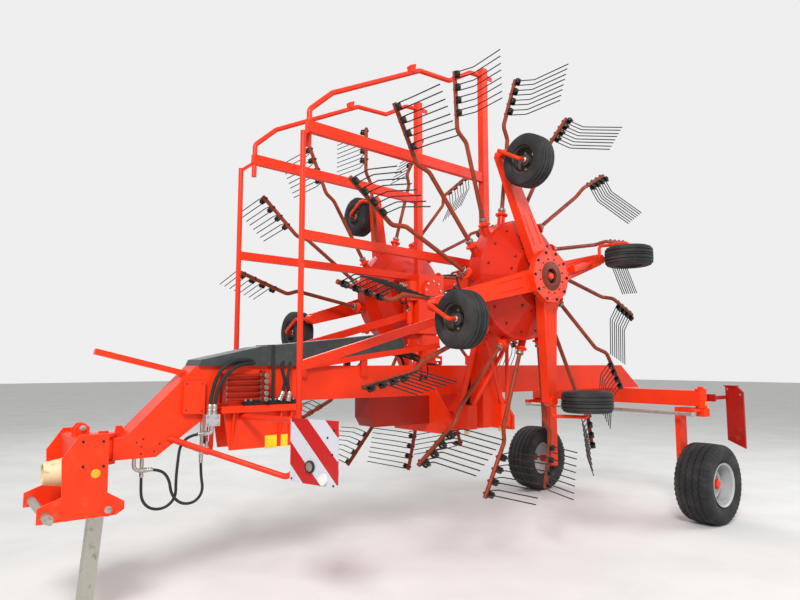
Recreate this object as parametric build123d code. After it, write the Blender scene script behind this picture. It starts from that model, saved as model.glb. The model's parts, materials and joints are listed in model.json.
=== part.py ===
from build123d import *
import math
import os

# Twin rotor rake, folded for the road and parked on its front stand.
# X points forward to the drawbar, Y to the left, Z up; millimetres.
# Lengths along X are counted from the rear axle and moved at the end, so that
# the origin lies on the ground under the middle of the machine.

# driving sizes
hitch_to_axle = 6250
tyre_r = 425
tyre_w = 380
track_half = 1195
beam_half_w = 120
beam_top = 1700
beam_bottom = 1420
rotor_x = 2650
rotor_z = 2465
arm_count = 15
arm_reach = 1905
arm_y = 850
ride_y = 1500
pivot_y = 350
pivot_z = ride_y - pivot_y
run_gap = 5
fit_gap = 0.3

# hitch
hitch_pin_r = 18
hitch_z = 800
head_nose = 45
mid_x = (hitch_to_axle + head_nose - tyre_r) / 2


def block(x0, x1, y0, y1, z0, z1):
    """Box between two corners."""
    size = Box(x1 - x0, y1 - y0, z1 - z0)
    return Pos((x0 + x1) / 2, (y0 + y1) / 2, (z0 + z1) / 2) * size


def rod(start, end, radius):
    """Round bar between two points."""
    line = Vector(*end) - Vector(*start)
    plane = Plane(origin=Vector(*start), z_dir=line)
    return extrude(plane * Circle(radius), line.length)


def square_bar(start, end, wide, deep, across=(0, 1, 0)):
    """Rectangular bar between two points; wide is measured along across."""
    line = Vector(*end) - Vector(*start)
    plane = Plane(origin=start, x_dir=across, z_dir=line)
    return extrude(plane * Rectangle(wide, deep), line.length)


def bent_tube(points, radius, bend):
    """Round tube along straight runs joined by arcs of one bend radius."""
    path = FilletPolyline(*points, radius=bend)
    start = Plane(origin=path @ 0, z_dir=path % 0)
    return sweep(start * Circle(radius), path=path)


def hose_tube(name, route, radius):
    """Tube of a hose along its route, each arc as large as its two runs allow."""
    corners = [Vector(*point) for point in route]
    bends = []
    for before, corner, after in zip(corners, corners[1:], corners[2:]):
        turn = (corner - before).get_angle(after - corner)
        shorter = min((corner - before).length, (after - corner).length)
        bends.append(0.45 * shorter / math.tan(math.radians(turn / 2)))
    path = FilletPolyline(*route, radius=bends)
    tube = sweep(Plane(origin=path @ 0, z_dir=path % 0) * Circle(radius), path=path)
    print(name, "length", round(path.length), "radii", [round(bend) for bend in bends],
          "volume against section times length", round(tube.volume / (math.pi * radius ** 2 * path.length), 3))
    return tube


def side_plate(points, y0, y1):
    """Plate cut to an outline of (x, z) points, from y0 to y1."""
    face = Plane.XZ * make_face(Polyline(*points, close=True).edges())
    return Pos(0, y0, 0) * extrude(face, -(y1 - y0))


def cross_plate(points, x0, x1):
    """Plate cut to an outline of (y, z) points, from x0 to x1."""
    face = Plane.YZ * make_face(Polyline(*points, close=True).edges())
    return Pos(x0, 0, 0) * extrude(face, x1 - x0)


def across_y(shape):
    """The same shape on the other side of the machine."""
    return mirror(shape, about=Plane.XZ)


def ring_y(x, z, y0, y1, outer, inner=0):
    """Disc or ring on an axis along Y."""
    body = rod((x, y0, z), (x, y1, z), outer)
    if inner:
        body -= rod((x, y0 - 1, z), (x, y1 + 1, z), inner)
    return body


parts = {}


# Main beam with its gooseneck, the front skirt and the rear slope
neck_x = 5300
nose_x = 5840
nose_low_x = 5560
nose_z = 1070
nose_top_z = 1215
nose_flat_x = 5770
skirt_front_x = 5090
skirt_rear_x = 4450
skirt_z = 1070
tail_x = -90
tail_end_x = -470
axle_beam_h = 170
axle_beam_w = 190
yaw_x = nose_x + 40
yaw_r = 62
yaw_pin_r = 32

beam_outline = [(tail_end_x, beam_bottom), (tail_x, beam_top), (neck_x, beam_top),
                (nose_flat_x, nose_top_z), (nose_x, nose_top_z), (nose_x, nose_z), (nose_low_x, nose_z),
                (skirt_front_x, beam_bottom)]
main_beam = side_plate(beam_outline, -beam_half_w, beam_half_w)
skirt_outline = [(skirt_rear_x, beam_bottom), (skirt_rear_x + 40, skirt_z),
                 (skirt_front_x - 60, skirt_z), (skirt_front_x, beam_bottom)]
skirt_t = 12
skirt = side_plate(skirt_outline, beam_half_w - skirt_t, beam_half_w)
main_beam += skirt + across_y(skirt)
yaw_sleeve = rod((yaw_x, 0, nose_z), (yaw_x, 0, nose_top_z), yaw_r)
yaw_sleeve += block(nose_x - 10, yaw_x, -yaw_r, yaw_r, nose_z, nose_top_z)
main_beam += yaw_sleeve
main_beam -= rod((yaw_x, 0, nose_z - 1), (yaw_x, 0, nose_top_z + 1), yaw_pin_r + fit_gap)

# boxed stiffener on each side of the neck, with a folded lip
neck_box = [(neck_x - 60, 1590), (neck_x + 95, 1590), (neck_x + 95, 1360), (neck_x - 60, 1352)]
neck_box_t = 40
stiffener = side_plate(neck_box, beam_half_w, beam_half_w + neck_box_t)
main_beam += stiffener + across_y(stiffener)

# skirt ribs, corner gussets and the angle rail along the skirt's top edge
rib_t = 10
rib_out = 45
rib_table = (
    # name of the rib, place along the beam, top height, lower height
    ("front", skirt_front_x - 80, 1400, skirt_z + 5),
    ("middle", skirt_rear_x + 170, 1400, skirt_z + 5),
    ("rear", skirt_rear_x + 80, 1400, skirt_z + 50),
)
for rib_name, rib_x, rib_top, rib_low in rib_table:
    rib = cross_plate([(beam_half_w - skirt_t, rib_top), (beam_half_w + rib_out, rib_top),
                       (beam_half_w + rib_out, rib_top - 60), (beam_half_w, rib_low),
                       (beam_half_w - skirt_t, rib_low)], rib_x, rib_x + rib_t)
    main_beam += rib + across_y(rib)
rail_w = 60
rail_t = 8
rail_line = [(skirt_front_x + 30, 1400), (skirt_rear_x, 1400), (skirt_rear_x, 1400 - rail_t),
             (skirt_front_x + 30, 1400 - rail_t)]
rail = side_plate(rail_line, beam_half_w, beam_half_w + rail_w)
rail += block(skirt_rear_x, skirt_front_x + 30, beam_half_w + rail_w - rail_t, beam_half_w + rail_w, 1350, 1400)
main_beam += rail + across_y(rail)
link_ear = side_plate([(nose_flat_x - 60, nose_top_z - 20), (nose_flat_x + 30, nose_top_z),
                       (nose_flat_x + 20, nose_top_z + 70), (nose_flat_x - 20, nose_top_z + 70)], -60, -45)
main_beam += link_ear

# plates under the beam that carry the fold pivots of both booms
ear_span = 390
ear_t = 30
pivot_r = 45
ear_r = 75
ear_outline = [(-pivot_y - ear_r, pivot_z - ear_r), (pivot_y + ear_r, pivot_z - ear_r),
               (pivot_y + ear_r, pivot_z + 60), (beam_half_w, beam_bottom + 150),
               (-beam_half_w, beam_bottom + 150), (-pivot_y - ear_r, pivot_z + 60)]
ears = []
for end_x in (rotor_x - ear_span - ear_t, rotor_x + ear_span):
    ear = cross_plate(ear_outline, end_x, end_x + ear_t)
    ear -= block(end_x, end_x + ear_t, -beam_half_w, beam_half_w, beam_bottom, beam_top)
    ears.append(ear)
pivot_pin_r = 25
pin_end = 20
pivot_pins = []
for side in (-1, 1):
    pin_a = (rotor_x - ear_span - ear_t - pin_end, side * pivot_y, pivot_z)
    pin_b = (rotor_x + ear_span + ear_t + pin_end, side * pivot_y, pivot_z)
    pin = rod(pin_a, pin_b, pivot_pin_r)
    ears = [ear - pin for ear in ears]
    pivot_pins.append(pin)
parts["fold_ears"] = Compound(children=ears + pivot_pins)

# lugs and pins for the fold cylinders
cyl_y = 180
cyl_z = 1290
cyl_eye_w = 64
lug_t = 14
lug_outline = [(-cyl_y - 40, cyl_z - 40), (cyl_y + 40, cyl_z - 40),
               (cyl_y + 40, cyl_z + 40), (beam_half_w, beam_bottom), (-beam_half_w, beam_bottom),
               (-cyl_y - 40, cyl_z + 40)]
cyl_pin_r = 15
lugs = []
for lug_x in (rotor_x - cyl_eye_w / 2 - run_gap - lug_t, rotor_x + cyl_eye_w / 2 + run_gap):
    lugs.append(cross_plate(lug_outline, lug_x, lug_x + lug_t))
cyl_pins = []
for side in (-1, 1):
    pin_from = (rotor_x - cyl_eye_w / 2 - run_gap - lug_t - 10, side * cyl_y, cyl_z)
    pin_to = (rotor_x + cyl_eye_w / 2 + run_gap + lug_t + 10, side * cyl_y, cyl_z)
    pin = rod(pin_from, pin_to, cyl_pin_r)
    lugs = [lug - pin for lug in lugs]
    cyl_pins.append(pin)
parts["cylinder_lugs"] = Compound(children=lugs + cyl_pins)

# arm over the drawbar that carries the hoses, and the strut beside the neck
hose_arm_from = (5330, 0, 1640)
hose_arm_to = (5960, 0, 1800)
main_beam += square_bar(hose_arm_from, hose_arm_to, 60, 40)
parts["main_beam"] = main_beam

# Plastic cover over the hoses: it lies on the beam at the neck and rises to the
# rear, where orange strips bolted to both its sides carry it
cover_half_w = 150
cover_t = 6
cover_outline = [(5290, beam_top), (5270, beam_top + 45), (4800, beam_top + 150), (3500, beam_top + 290),
                 (3420, beam_top + 275), (3385, beam_top + 215), (3400, beam_top + 120), (4480, beam_top)]
cover = side_plate(cover_outline, -cover_half_w, cover_half_w)
cover_inner = [(5230, beam_top - 1), (5215, beam_top + 30), (4790, beam_top + 140), (3502, beam_top + 278),
               (3428, beam_top + 264), (3395, beam_top + 212), (3400, beam_top + 119), (4480, beam_top - 1)]
cover -= side_plate(cover_inner, -cover_half_w + cover_t, cover_half_w - cover_t)
parts["beam_cover"] = cover

strip_h = 50
strip_t = 8
strip_front = (4500, beam_top - 40)
strip_rear = (2960, beam_top + 165)
prop_w = 60
prop_table = (
    # rear edge along X, top above the beam's top
    (4400, -30),
    (3800, 50),
    (3120, 140),
)
strips = []
for side in (-1, 1):
    strip = side_plate([strip_front, strip_rear, (strip_rear[0] + 10, strip_rear[1] + strip_h),
                        (strip_front[0], strip_front[1] + strip_h)], cover_half_w, cover_half_w + strip_t)
    for prop_x, prop_top in prop_table:
        strip += block(prop_x, prop_x + prop_w, beam_half_w, cover_half_w, beam_top - 90, beam_top + prop_top)
    strips.append(strip if side > 0 else across_y(strip))
parts["cover_strips"] = Compound(children=strips)

# Valve bank on the left of the neck: five pipes between two manifolds, a tap
# at each pipe's rear end, and the aluminium block with its elbow
pipe_r = 11
pipe_z = (1625, 1580, 1535, 1490, 1447)
pipe_y = beam_half_w + 30
bank_front_x = 5085
bank_rear_x = 4800
bank_low_z = pipe_z[-1] - 22
bank_high_z = pipe_z[0] + 20
manifold_w = 30
manifold_y = beam_half_w + 50
tap_r = 13
tap_y = manifold_y + 30
tap_x = bank_rear_x - manifold_w / 2
bank = [block(bank_front_x, bank_front_x + manifold_w, beam_half_w, manifold_y, bank_low_z, bank_high_z),
        block(bank_rear_x - manifold_w, bank_rear_x, beam_half_w, manifold_y, bank_low_z, bank_high_z + 20)]
for level in pipe_z:
    bank.append(rod((bank_rear_x, pipe_y, level), (bank_front_x, pipe_y, level), pipe_r))
    bank.append(rod((tap_x, manifold_y, level), (tap_x, tap_y, level), tap_r))
parts["valve_bank"] = Compound(children=bank)
alloy_x = 5150
alloy_len = 105
alloy_y = beam_half_w + neck_box_t
alloy_w = 70
alloy_z = 1268
alloy_h = 82
elbow_r = 14
elbow_y = alloy_y + 15
elbow_z = alloy_z - 53
elbow_bend = 22
distributor = block(alloy_x, alloy_x + alloy_len, alloy_y, alloy_y + alloy_w, alloy_z, alloy_z + alloy_h)
distributor += block(alloy_x + 15, alloy_x + alloy_len - 15, beam_half_w, alloy_y,
                     alloy_z + 22, alloy_z + alloy_h - 10)
distributor += bent_tube([(alloy_x + 40, elbow_y, alloy_z), (alloy_x + 40, elbow_y, elbow_z),
                          (alloy_x + 90, elbow_y, elbow_z)], elbow_r, elbow_bend)
parts["distributor_block"] = distributor

# Metal ends under the nose and the neck, and the two hoses that hang between
# them: from the front elbow to the rear pipe, and from the nipple to the
# aluminium block. A hose keeps the points of its route when a size changes.
hose_r = 10
hose_end_r = 13
front_elbow_bend = 40
front_elbow_y = 100
nipple_y = 70
hose_ends = [bent_tube([(5700, front_elbow_y, nose_z), (5700, front_elbow_y, 985), (5625, front_elbow_y, 985)],
                       hose_end_r, front_elbow_bend),
             rod((5640, nipple_y, 985), (5640, nipple_y, nose_z), hose_end_r),
             rod((5235, front_elbow_y, 1050), (5235, front_elbow_y, 1340), hose_end_r) - main_beam]
parts["hose_elbows"] = Compound(children=hose_ends)
hose_table = (
    # name, route from its front end to its rear end
    ("hose_outer", ((5625, 100, 985), (5530, 100, 985), (5463, 114, 918), (5452, 136, 803), (5386, 152, 733),
                    (5288, 150, 731), (5222, 136, 802), (5235, 100, 925), (5235, 100, 1050))),
    ("hose_inner", ((5640, 70, 985), (5640, 70, 885), (5634, 73, 775), (5570, 78, 708), (5475, 90, 706),
                    (5408, 105, 774), (5418, 122, 900), (5414, 137, 1030), (5402, 140, 1148), (5335, 175, 1215),
                    (5240, 175, 1215))),
)
for name, route in hose_table:
    parts[name] = hose_tube(name, route, hose_r)

# Dark red box that hangs under the beam ahead of the front ear
box_half_w = beam_half_w
box_from = rotor_x + ear_span + ear_t
box_to = 3750
box_low = 1160
box_outline = [(box_from, beam_bottom), (box_to, beam_bottom), (box_to, box_low + 80), (box_to - 50, box_low),
               (box_from, box_low)]
parts["under_box"] = side_plate(box_outline, -box_half_w, box_half_w)

# Rear axle beam with a kingpin sleeve at each end
kingpin_in = 35
kingpin_y = track_half - kingpin_in
kingpin_r = 30
sleeve_r = 60
axle_low = beam_bottom - axle_beam_h
rear_axle = block(-axle_beam_w / 2, axle_beam_w / 2, -kingpin_y, kingpin_y, axle_low, beam_bottom)
for side in (-1, 1):
    low = (0, side * kingpin_y, axle_low - 20)
    high = (0, side * kingpin_y, beam_bottom + 20)
    rear_axle += rod(low, high, sleeve_r)
for side in (-1, 1):
    low = (0, side * kingpin_y, axle_low - 40)
    high = (0, side * kingpin_y, beam_bottom + 40)
    rear_axle -= rod(low, high, kingpin_r + fit_gap)
parts["rear_axle_beam"] = rear_axle

# Steered knuckles, rims and tyres of the rear wheels
knuckle_gap = 3
knuckle_top = axle_low - 20 - knuckle_gap
knuckle_arm_h = 90
leg_t = 60
leg_clear = 60
leg_y = track_half - tyre_w / 2 - leg_clear - leg_t / 2
hub_face_y = track_half - 90
rim_r = 225
rim_w = 300
lug_h = 20
lug_rows = 20
lug_lean = 24
steer_arm_x = 200
steer_arm_t = 35
eye_half = 22
ball_r = 10
eye_clear = 16
for name, side in (("left", 1), ("right", -1)):
    arm_box = block(-60, 60, leg_y - leg_t / 2, kingpin_y + sleeve_r,
                    knuckle_top - knuckle_arm_h, knuckle_top)
    leg = block(-70, 70, leg_y - leg_t / 2, leg_y + leg_t / 2, tyre_r - 80, knuckle_top)
    knuckle = arm_box + leg
    knuckle += rod((0, kingpin_y, knuckle_top - 10), (0, kingpin_y, beam_bottom + 45), kingpin_r)
    knuckle += rod((0, leg_y, tyre_r), (0, hub_face_y, tyre_r), 45)
    knuckle += block(50, steer_arm_x + 25, kingpin_y - 30, kingpin_y + 30,
                     knuckle_top - steer_arm_t, knuckle_top)
    ball_at = (steer_arm_x, kingpin_y)
    knuckle += rod((*ball_at, knuckle_top - 85), (*ball_at, knuckle_top - 30), ball_r)
    parts["knuckle_" + name] = knuckle if side > 0 else across_y(knuckle)
    rim = ring_y(0, tyre_r, hub_face_y + fit_gap, hub_face_y + 40, rim_r - 10)
    rim += ring_y(0, tyre_r, track_half - rim_w / 2, track_half + rim_w / 2, rim_r - fit_gap, rim_r - 20)
    rim += ring_y(0, tyre_r, hub_face_y + 40, hub_face_y + 90, 70)
    parts["wheel_rim_" + name] = rim if side > 0 else across_y(rim)
    half = tyre_w / 2
    crown_r = tyre_r - lug_h
    tyre_section = [(rim_r, -half + 40), (rim_r + 60, -half), (crown_r - 35, -half + 4),
                    (crown_r - 8, -half + 35), (crown_r, 0), (crown_r - 8, half - 35),
                    (crown_r - 35, half - 4), (rim_r + 60, half), (rim_r, half - 40)]
    section = make_face(Polyline(*tyre_section, close=True).edges())
    tyre = revolve(Plane(origin=(0, track_half, tyre_r), x_dir=(1, 0, 0), z_dir=(0, 0, 1)) * section,
                   axis=Axis((0, track_half, tyre_r), (0, 1, 0)))
    for step in range(lug_rows):
        for half_side in (-1, 1):
            angle = (step + (0.5 if half_side > 0 else 0)) * 360 / lug_rows
            at_lug = Rot(0, angle, 0) * Pos(0, half_side * 85, tyre_r - 22) * Rot(0, 0, half_side * lug_lean)
            tyre += Pos(0, track_half, tyre_r) * at_lug * Box(44, 120, 40)
    parts["tyre_" + name] = tyre if side > 0 else across_y(tyre)

# Track rod between the two steering arms
rod_z = knuckle_top - steer_arm_t - eye_half - fit_gap
rod_eye_r = ball_r + eye_clear + 12
track_rod = rod((steer_arm_x, -kingpin_y, rod_z), (steer_arm_x, kingpin_y, rod_z), 20)
for side in (-1, 1):
    low = (steer_arm_x, side * kingpin_y, rod_z - eye_half)
    high = (steer_arm_x, side * kingpin_y, rod_z + eye_half)
    track_rod += rod(low, high, rod_eye_r)
for side in (-1, 1):
    low = (steer_arm_x, side * kingpin_y, rod_z - 30)
    high = (steer_arm_x, side * kingpin_y, rod_z + 30)
    track_rod -= rod(low, high, ball_r + eye_clear)
parts["track_rod"] = track_rod

# Drawbar head, its cross shaft, shaft guard and parking stand
head_half_w = 300
head_t = 16
head_low = hitch_z - head_nose
stand_x = 5900
stand_z = head_low + 40
stand_r = 22
head_plate = [(5910, 1270), (6080, 1270), (6175, 1130), (6165, 900), (hitch_to_axle + head_nose, 850),
              (hitch_to_axle + head_nose, head_low), (5850, head_low), (5800, head_low + 30),
              (5800, head_low + 80), (5905, 900)]
drawbar_head = side_plate(head_plate, head_half_w - head_t, head_half_w)
drawbar_head += across_y(drawbar_head)
yaw_gap = 5
deck_t = 25
deck_from = yaw_x + 60
deck_to = yaw_x + 200
for deck_z in (nose_z - yaw_gap - deck_t, nose_top_z + yaw_gap):
    deck = block(deck_from, deck_to, -head_half_w, head_half_w, deck_z, deck_z + deck_t)
    deck += block(yaw_x, deck_from, -yaw_r - 20, yaw_r + 20, deck_z, deck_z + deck_t)
    deck += rod((yaw_x, 0, deck_z), (yaw_x, 0, deck_z + deck_t), yaw_r + 20)
    drawbar_head += deck
front_x = deck_to + 15
drawbar_head += block(deck_to, front_x, -head_half_w, head_half_w, 1000, 1240)
yaw_low = nose_z - yaw_gap - 10
drawbar_head += rod((yaw_x, 0, yaw_low), (yaw_x, 0, nose_top_z + yaw_gap + 40), yaw_pin_r)
shaft_r = 28
drawbar_head += block(yaw_x + 80, hitch_to_axle - 20, -head_half_w, head_half_w, head_low, head_low + 12)
drawbar_head -= rod((hitch_to_axle, -400, hitch_z), (hitch_to_axle, 400, hitch_z), shaft_r + fit_gap)
drawbar_head -= rod((stand_x, -400, stand_z), (stand_x, 400, stand_z), stand_r + fit_gap)
parts["drawbar_head"] = drawbar_head

pin_half = 412
pin_len = 70
cross_shaft = rod((hitch_to_axle, -pin_half, hitch_z), (hitch_to_axle, pin_half, hitch_z), shaft_r)
cross_shaft += rod((hitch_to_axle, -pin_half - pin_len, hitch_z), (hitch_to_axle, pin_half + pin_len, hitch_z),
                   hitch_pin_r)
parts["cross_shaft"] = cross_shaft

guard_x = front_x + fit_gap
cone_face = Plane(origin=(guard_x, 0, 1010), z_dir=(1, 0, 0))
cone = loft([cone_face * Circle(95), cone_face.offset(140) * Circle(70)])
cone -= Pos(5, 0, 0) * loft([cone_face * Circle(85), cone_face.offset(140) * Circle(60)])
parts["shaft_guard"] = cone

stand = rod((stand_x, -head_half_w - 15, stand_z), (stand_x, head_half_w + 15, stand_z), stand_r)
stand += square_bar((stand_x, 0, stand_z), (stand_x + 60, 0, 12), 90, 90)
stand += block(stand_x - 60, stand_x + 200, -130, 130, 0, 12)
parts["parking_stand"] = stand

# Booms that fold at the pivots, with a hollow box for the slide
boom_in_y = pivot_y
boom_deep = 160
boom_half_w = 100
boom_wall = 10
boom_top = 2010
tube_half = ear_span - run_gap
collar_h = 120
strut_r = 30
brace_r = 18
foot_w = 120
strut_plate_rear = 250
strut_plate_front = 150
strut_plate_low = 110
strut_plate_high = 30
brace_table = (
    # foot and head of each bracing tube along X and up
    (rotor_x + 280, pivot_z + 170, rotor_x - 220, boom_top - 70),
    (rotor_x - 180, pivot_z + 170, rotor_x - 190, boom_top - 90),
    (rotor_x - 120, pivot_z + 170, rotor_x + 90, boom_top - 70),
)
lug_y = pivot_y - 90
lug_z = pivot_z + 600
for name, side in (("left", 1), ("right", -1)):
    boom = rod((rotor_x - tube_half, pivot_y, pivot_z), (rotor_x + tube_half, pivot_y, pivot_z), pivot_r)
    boom += block(rotor_x - boom_half_w, rotor_x + boom_half_w, boom_in_y, boom_in_y + boom_deep,
                  pivot_z - 20, boom_top)
    boom += block(rotor_x - boom_half_w - 15, rotor_x + boom_half_w + 15, boom_in_y - 12,
                  boom_in_y + boom_deep + 15, boom_top - collar_h, boom_top)
    for end in (-1, 1):
        foot = (rotor_x + end * (tube_half - 60), pivot_y + 20, pivot_z)
        head = (rotor_x + end * (boom_half_w - 10), boom_in_y + boom_deep / 2, boom_top - collar_h / 2)
        boom += rod(foot, head, strut_r)
    brace_y = boom_in_y + boom_deep + brace_r + 22
    boom += block(rotor_x - strut_plate_rear, rotor_x + strut_plate_front, boom_in_y + boom_deep, brace_y,
                  boom_top - strut_plate_low, boom_top - strut_plate_high)
    for foot_x, foot_z, head_x, head_z in brace_table:
        boom += rod((foot_x, brace_y, foot_z), (head_x, brace_y, head_z), brace_r)
    for foot_x in (rotor_x - 200, rotor_x + 240):
        boom += block(foot_x, foot_x + foot_w, pivot_y - 20, brace_y + 20, pivot_z - 20, pivot_z + 50)
        boom += block(foot_x, foot_x + foot_w, pivot_y + 80, brace_y + 25, pivot_z + 30, pivot_z + 190)
    boom -= block(rotor_x - boom_half_w + boom_wall, rotor_x + boom_half_w - boom_wall,
                  boom_in_y + boom_wall, boom_in_y + boom_deep - boom_wall,
                  pivot_z + pivot_r + 40, boom_top + 1)
    boom -= rod((rotor_x - tube_half - 1, pivot_y, pivot_z), (rotor_x + tube_half + 1, pivot_y, pivot_z),
                pivot_pin_r + fit_gap)
    for lug_x in (rotor_x - cyl_eye_w / 2 - run_gap - lug_t, rotor_x + cyl_eye_w / 2 + run_gap):
        boom += block(lug_x, lug_x + lug_t, lug_y - 35, boom_in_y + 1, lug_z - 45, lug_z + 45)
    parts["boom_" + name] = boom if side > 0 else across_y(boom)

# Fold cylinders: barrel at the beam, rod up to the boom
barrel_r = 32
piston_r = 18
barrel_vec = Vector(0, lug_y - cyl_y, lug_z - cyl_z)
barrel_len = 420
eye_r = 28
for name, side in (("left", 1), ("right", -1)):
    way = barrel_vec.normalized()
    base = Vector(rotor_x, cyl_y, cyl_z)
    tip = base + way * barrel_len
    eye = Vector(rotor_x, lug_y, lug_z)
    barrel = rod(base + way * 20, tip, barrel_r)
    barrel += rod((rotor_x - cyl_eye_w / 2, cyl_y, cyl_z), (rotor_x + cyl_eye_w / 2, cyl_y, cyl_z), eye_r)
    barrel -= rod((rotor_x - cyl_eye_w, cyl_y, cyl_z), (rotor_x + cyl_eye_w, cyl_y, cyl_z), cyl_pin_r + fit_gap)
    barrel -= rod(base + way * 50, tip + way, piston_r + fit_gap)
    piston = rod(base + way * 60, eye, piston_r)
    piston += rod((rotor_x - cyl_eye_w / 2, lug_y, lug_z), (rotor_x + cyl_eye_w / 2, lug_y, lug_z), eye_r)
    piston -= rod((rotor_x - cyl_eye_w, lug_y, lug_z), (rotor_x + cyl_eye_w, lug_y, lug_z), cyl_pin_r)
    parts["fold_barrel_" + name] = barrel if side > 0 else across_y(barrel)
    parts["fold_piston_" + name] = piston if side > 0 else across_y(piston)

# Rotor heads: slide tube, gear case and the fixed axle
slide_gap = 0.5
gear_y0 = boom_in_y - 20
gear_y1 = 600
gear_half_w = 170
gear_low = boom_top + 20
gear_high = rotor_z + 190
head_boxes = (
    # rear, front and low, high, all from the rotor's axis; near and far side from the case's inner face
    (gear_half_w, 270, -90, 110, 20, 170),
    (-250, -gear_half_w, -220, -40, 40, 200),
)
motor_x = rotor_x + 215
motor_y = gear_y0 + 95
motor_r = 34
rear_cap_r = 120
axle_r = 60
hub_plate_y = 1195
hub_plate_t = 60
for name, side in (("left", 1), ("right", -1)):
    inner = boom_wall + slide_gap
    head = block(rotor_x - boom_half_w + inner, rotor_x + boom_half_w - inner,
                 boom_in_y + inner, boom_in_y + boom_deep - inner,
                 pivot_z + pivot_r + 50, boom_top + 60)
    head += block(rotor_x - gear_half_w, rotor_x + gear_half_w, gear_y0, gear_y1, gear_low, gear_high)
    head += rod((rotor_x, gear_y1 - 5, rotor_z), (rotor_x, hub_plate_y, rotor_z), axle_r)
    for box_rear, box_front, box_low, box_high, box_near, box_far in head_boxes:
        head += block(rotor_x + box_rear, rotor_x + box_front, gear_y0 + box_near, gear_y0 + box_far,
                      rotor_z + box_low, rotor_z + box_high)
    head += rod((motor_x, motor_y, rotor_z - 330), (motor_x, motor_y, rotor_z - 90), motor_r)
    head += rod((rotor_x, gear_y0 - 30, rotor_z + 20), (rotor_x, gear_y0, rotor_z + 20), rear_cap_r)
    parts["rotor_head_" + name] = head if side > 0 else across_y(head)

# Guards on the rotor heads: the upper hoop with its rail, and ahead of it the
# lower frame, whose post stands a little further out
guard_y = 500
guard_r = 22
post_w = 70
post_top = 4600
low_post_x = 4700
low_post_y = guard_y + 80
low_post_z0 = 1290
low_post_z1 = post_top - 1120
hoop_points = [(4610, post_top - 1200), (4605, post_top - 900), (4400, post_top - 710), (3490, post_top - 250),
               (3130, post_top - 240), (2860, post_top - 80), (2690, post_top - 70)]
spur_points = [(3560, post_top - 300), (3600, post_top - 300), (3610, post_top - 240), (3550, post_top - 215)]
tab_points = [(2690, post_top - 90), (2560, post_top - 90), (2560, post_top - 50), (2690, post_top - 40)]
for name, side in (("left", 1), ("right", -1)):
    post_x = rotor_x + 40
    guard = block(post_x - post_w / 2, post_x + post_w / 2, guard_y - post_w / 2, guard_y + post_w / 2,
                  gear_high, post_top)
    guard += bent_tube([(x, guard_y, z) for x, z in hoop_points], guard_r, 60)
    guard += side_plate(tab_points, guard_y - 6, guard_y + 6)
    guard += square_bar((4630, guard_y, post_top - 1040), (post_x, guard_y, post_top - 1100), 50, 90)
    guard += rod((low_post_x, low_post_y, low_post_z0), (low_post_x, low_post_y, low_post_z1), guard_r)
    guard += square_bar((4600, guard_y, post_top - 1060), (low_post_x, low_post_y, low_post_z1 - 20), 30, 30)
    guard += square_bar((low_post_x, low_post_y, 2680), (post_x + 100, guard_y, 2640), 50, 70)
    guard += square_bar((low_post_x, low_post_y, 1700), (rotor_x + 150, guard_y, 2240), 50, 70)
    guard += side_plate(spur_points, guard_y - 30, guard_y + 30)
    guard -= block(rotor_x - gear_half_w, rotor_x + gear_half_w, gear_y0, gear_y1, gear_low, gear_high)
    parts["rotor_guard_" + name] = guard if side > 0 else across_y(guard)

# Rotor drums: arm carrier and faceted bell on the fixed axle.
# The arms' bearings lie beside the rotor's axis, not on it: they are tangential.
arm_side = -250
boss_in = 400
boss_out = 560
boss_r = 34
bell_low_y = 930
drum_section = [(axle_r + fit_gap, 640), (300, 640), (400, 770), (540, 790), (540, bell_low_y),
                (axle_r + fit_gap, bell_low_y)]
bell_out_r = 520
bell_in_r = 250
bell_top = 1080


def placed(shape, angle_deg):
    """Turn a rotor piece about the rotor's axis, from forward towards up."""
    return Pos(rotor_x, 0, rotor_z) * Rot(0, -angle_deg, 0) * shape


drum_face = make_face(Polyline(*drum_section, close=True).edges())
drum_solid = revolve(drum_face, axis=Axis.Y)
across_axle = {"x_dir": (1, 0, 0), "z_dir": (0, 1, 0)}
bell_low = Plane(origin=(0, bell_low_y, 0), **across_axle) * RegularPolygon(bell_out_r, arm_count)
bell_high = Plane(origin=(0, bell_top, 0), **across_axle) * RegularPolygon(bell_in_r, arm_count)
drum_solid += loft([bell_low, bell_high])
drum_solid -= rod((0, 600, 0), (0, bell_top + 1, 0), axle_r + fit_gap)
boss = rod((boss_in, arm_y, arm_side), (boss_out, arm_y, arm_side), boss_r)
arm_step = 360 / arm_count
arm_phase = {"left": 25.6, "right": 9.7}
for name, side in (("left", 1), ("right", -1)):
    drum = placed(drum_solid, arm_phase[name])
    for index in range(arm_count):
        drum += placed(boss, arm_phase[name] + index * arm_step)
    parts["rotor_drum_" + name] = drum if side > 0 else across_y(drum)

# Tine arms: tube with a double bend, then a straight end that carries four
# double spring tines on flat seats
arm_r = 19
end_run = 505
crank_run = 110
crank_end = arm_reach - end_run
crank_start = crank_end - crank_run
crank_side = -60
end_side = 38
end_angle = math.degrees(math.atan2(end_side - crank_side, arm_reach - crank_end))
tine_first = 145
tine_pitch = 110
tine_pairs = 4
pair_half = 26
seat_top = 24
coil_flat = 25
coil_r = coil_flat / math.cos(math.pi / 8)
coil_y = seat_top + coil_flat
wire = 9
kink_y = 169
kink_t = 93
tine_y = 555
tine_t = 122


def on_arm_end(shape):
    """Move a piece drawn along the arm's straight end to its place on the arm."""
    return Pos(crank_end, 0, crank_side) * Rot(0, -end_angle, 0) * shape


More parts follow.
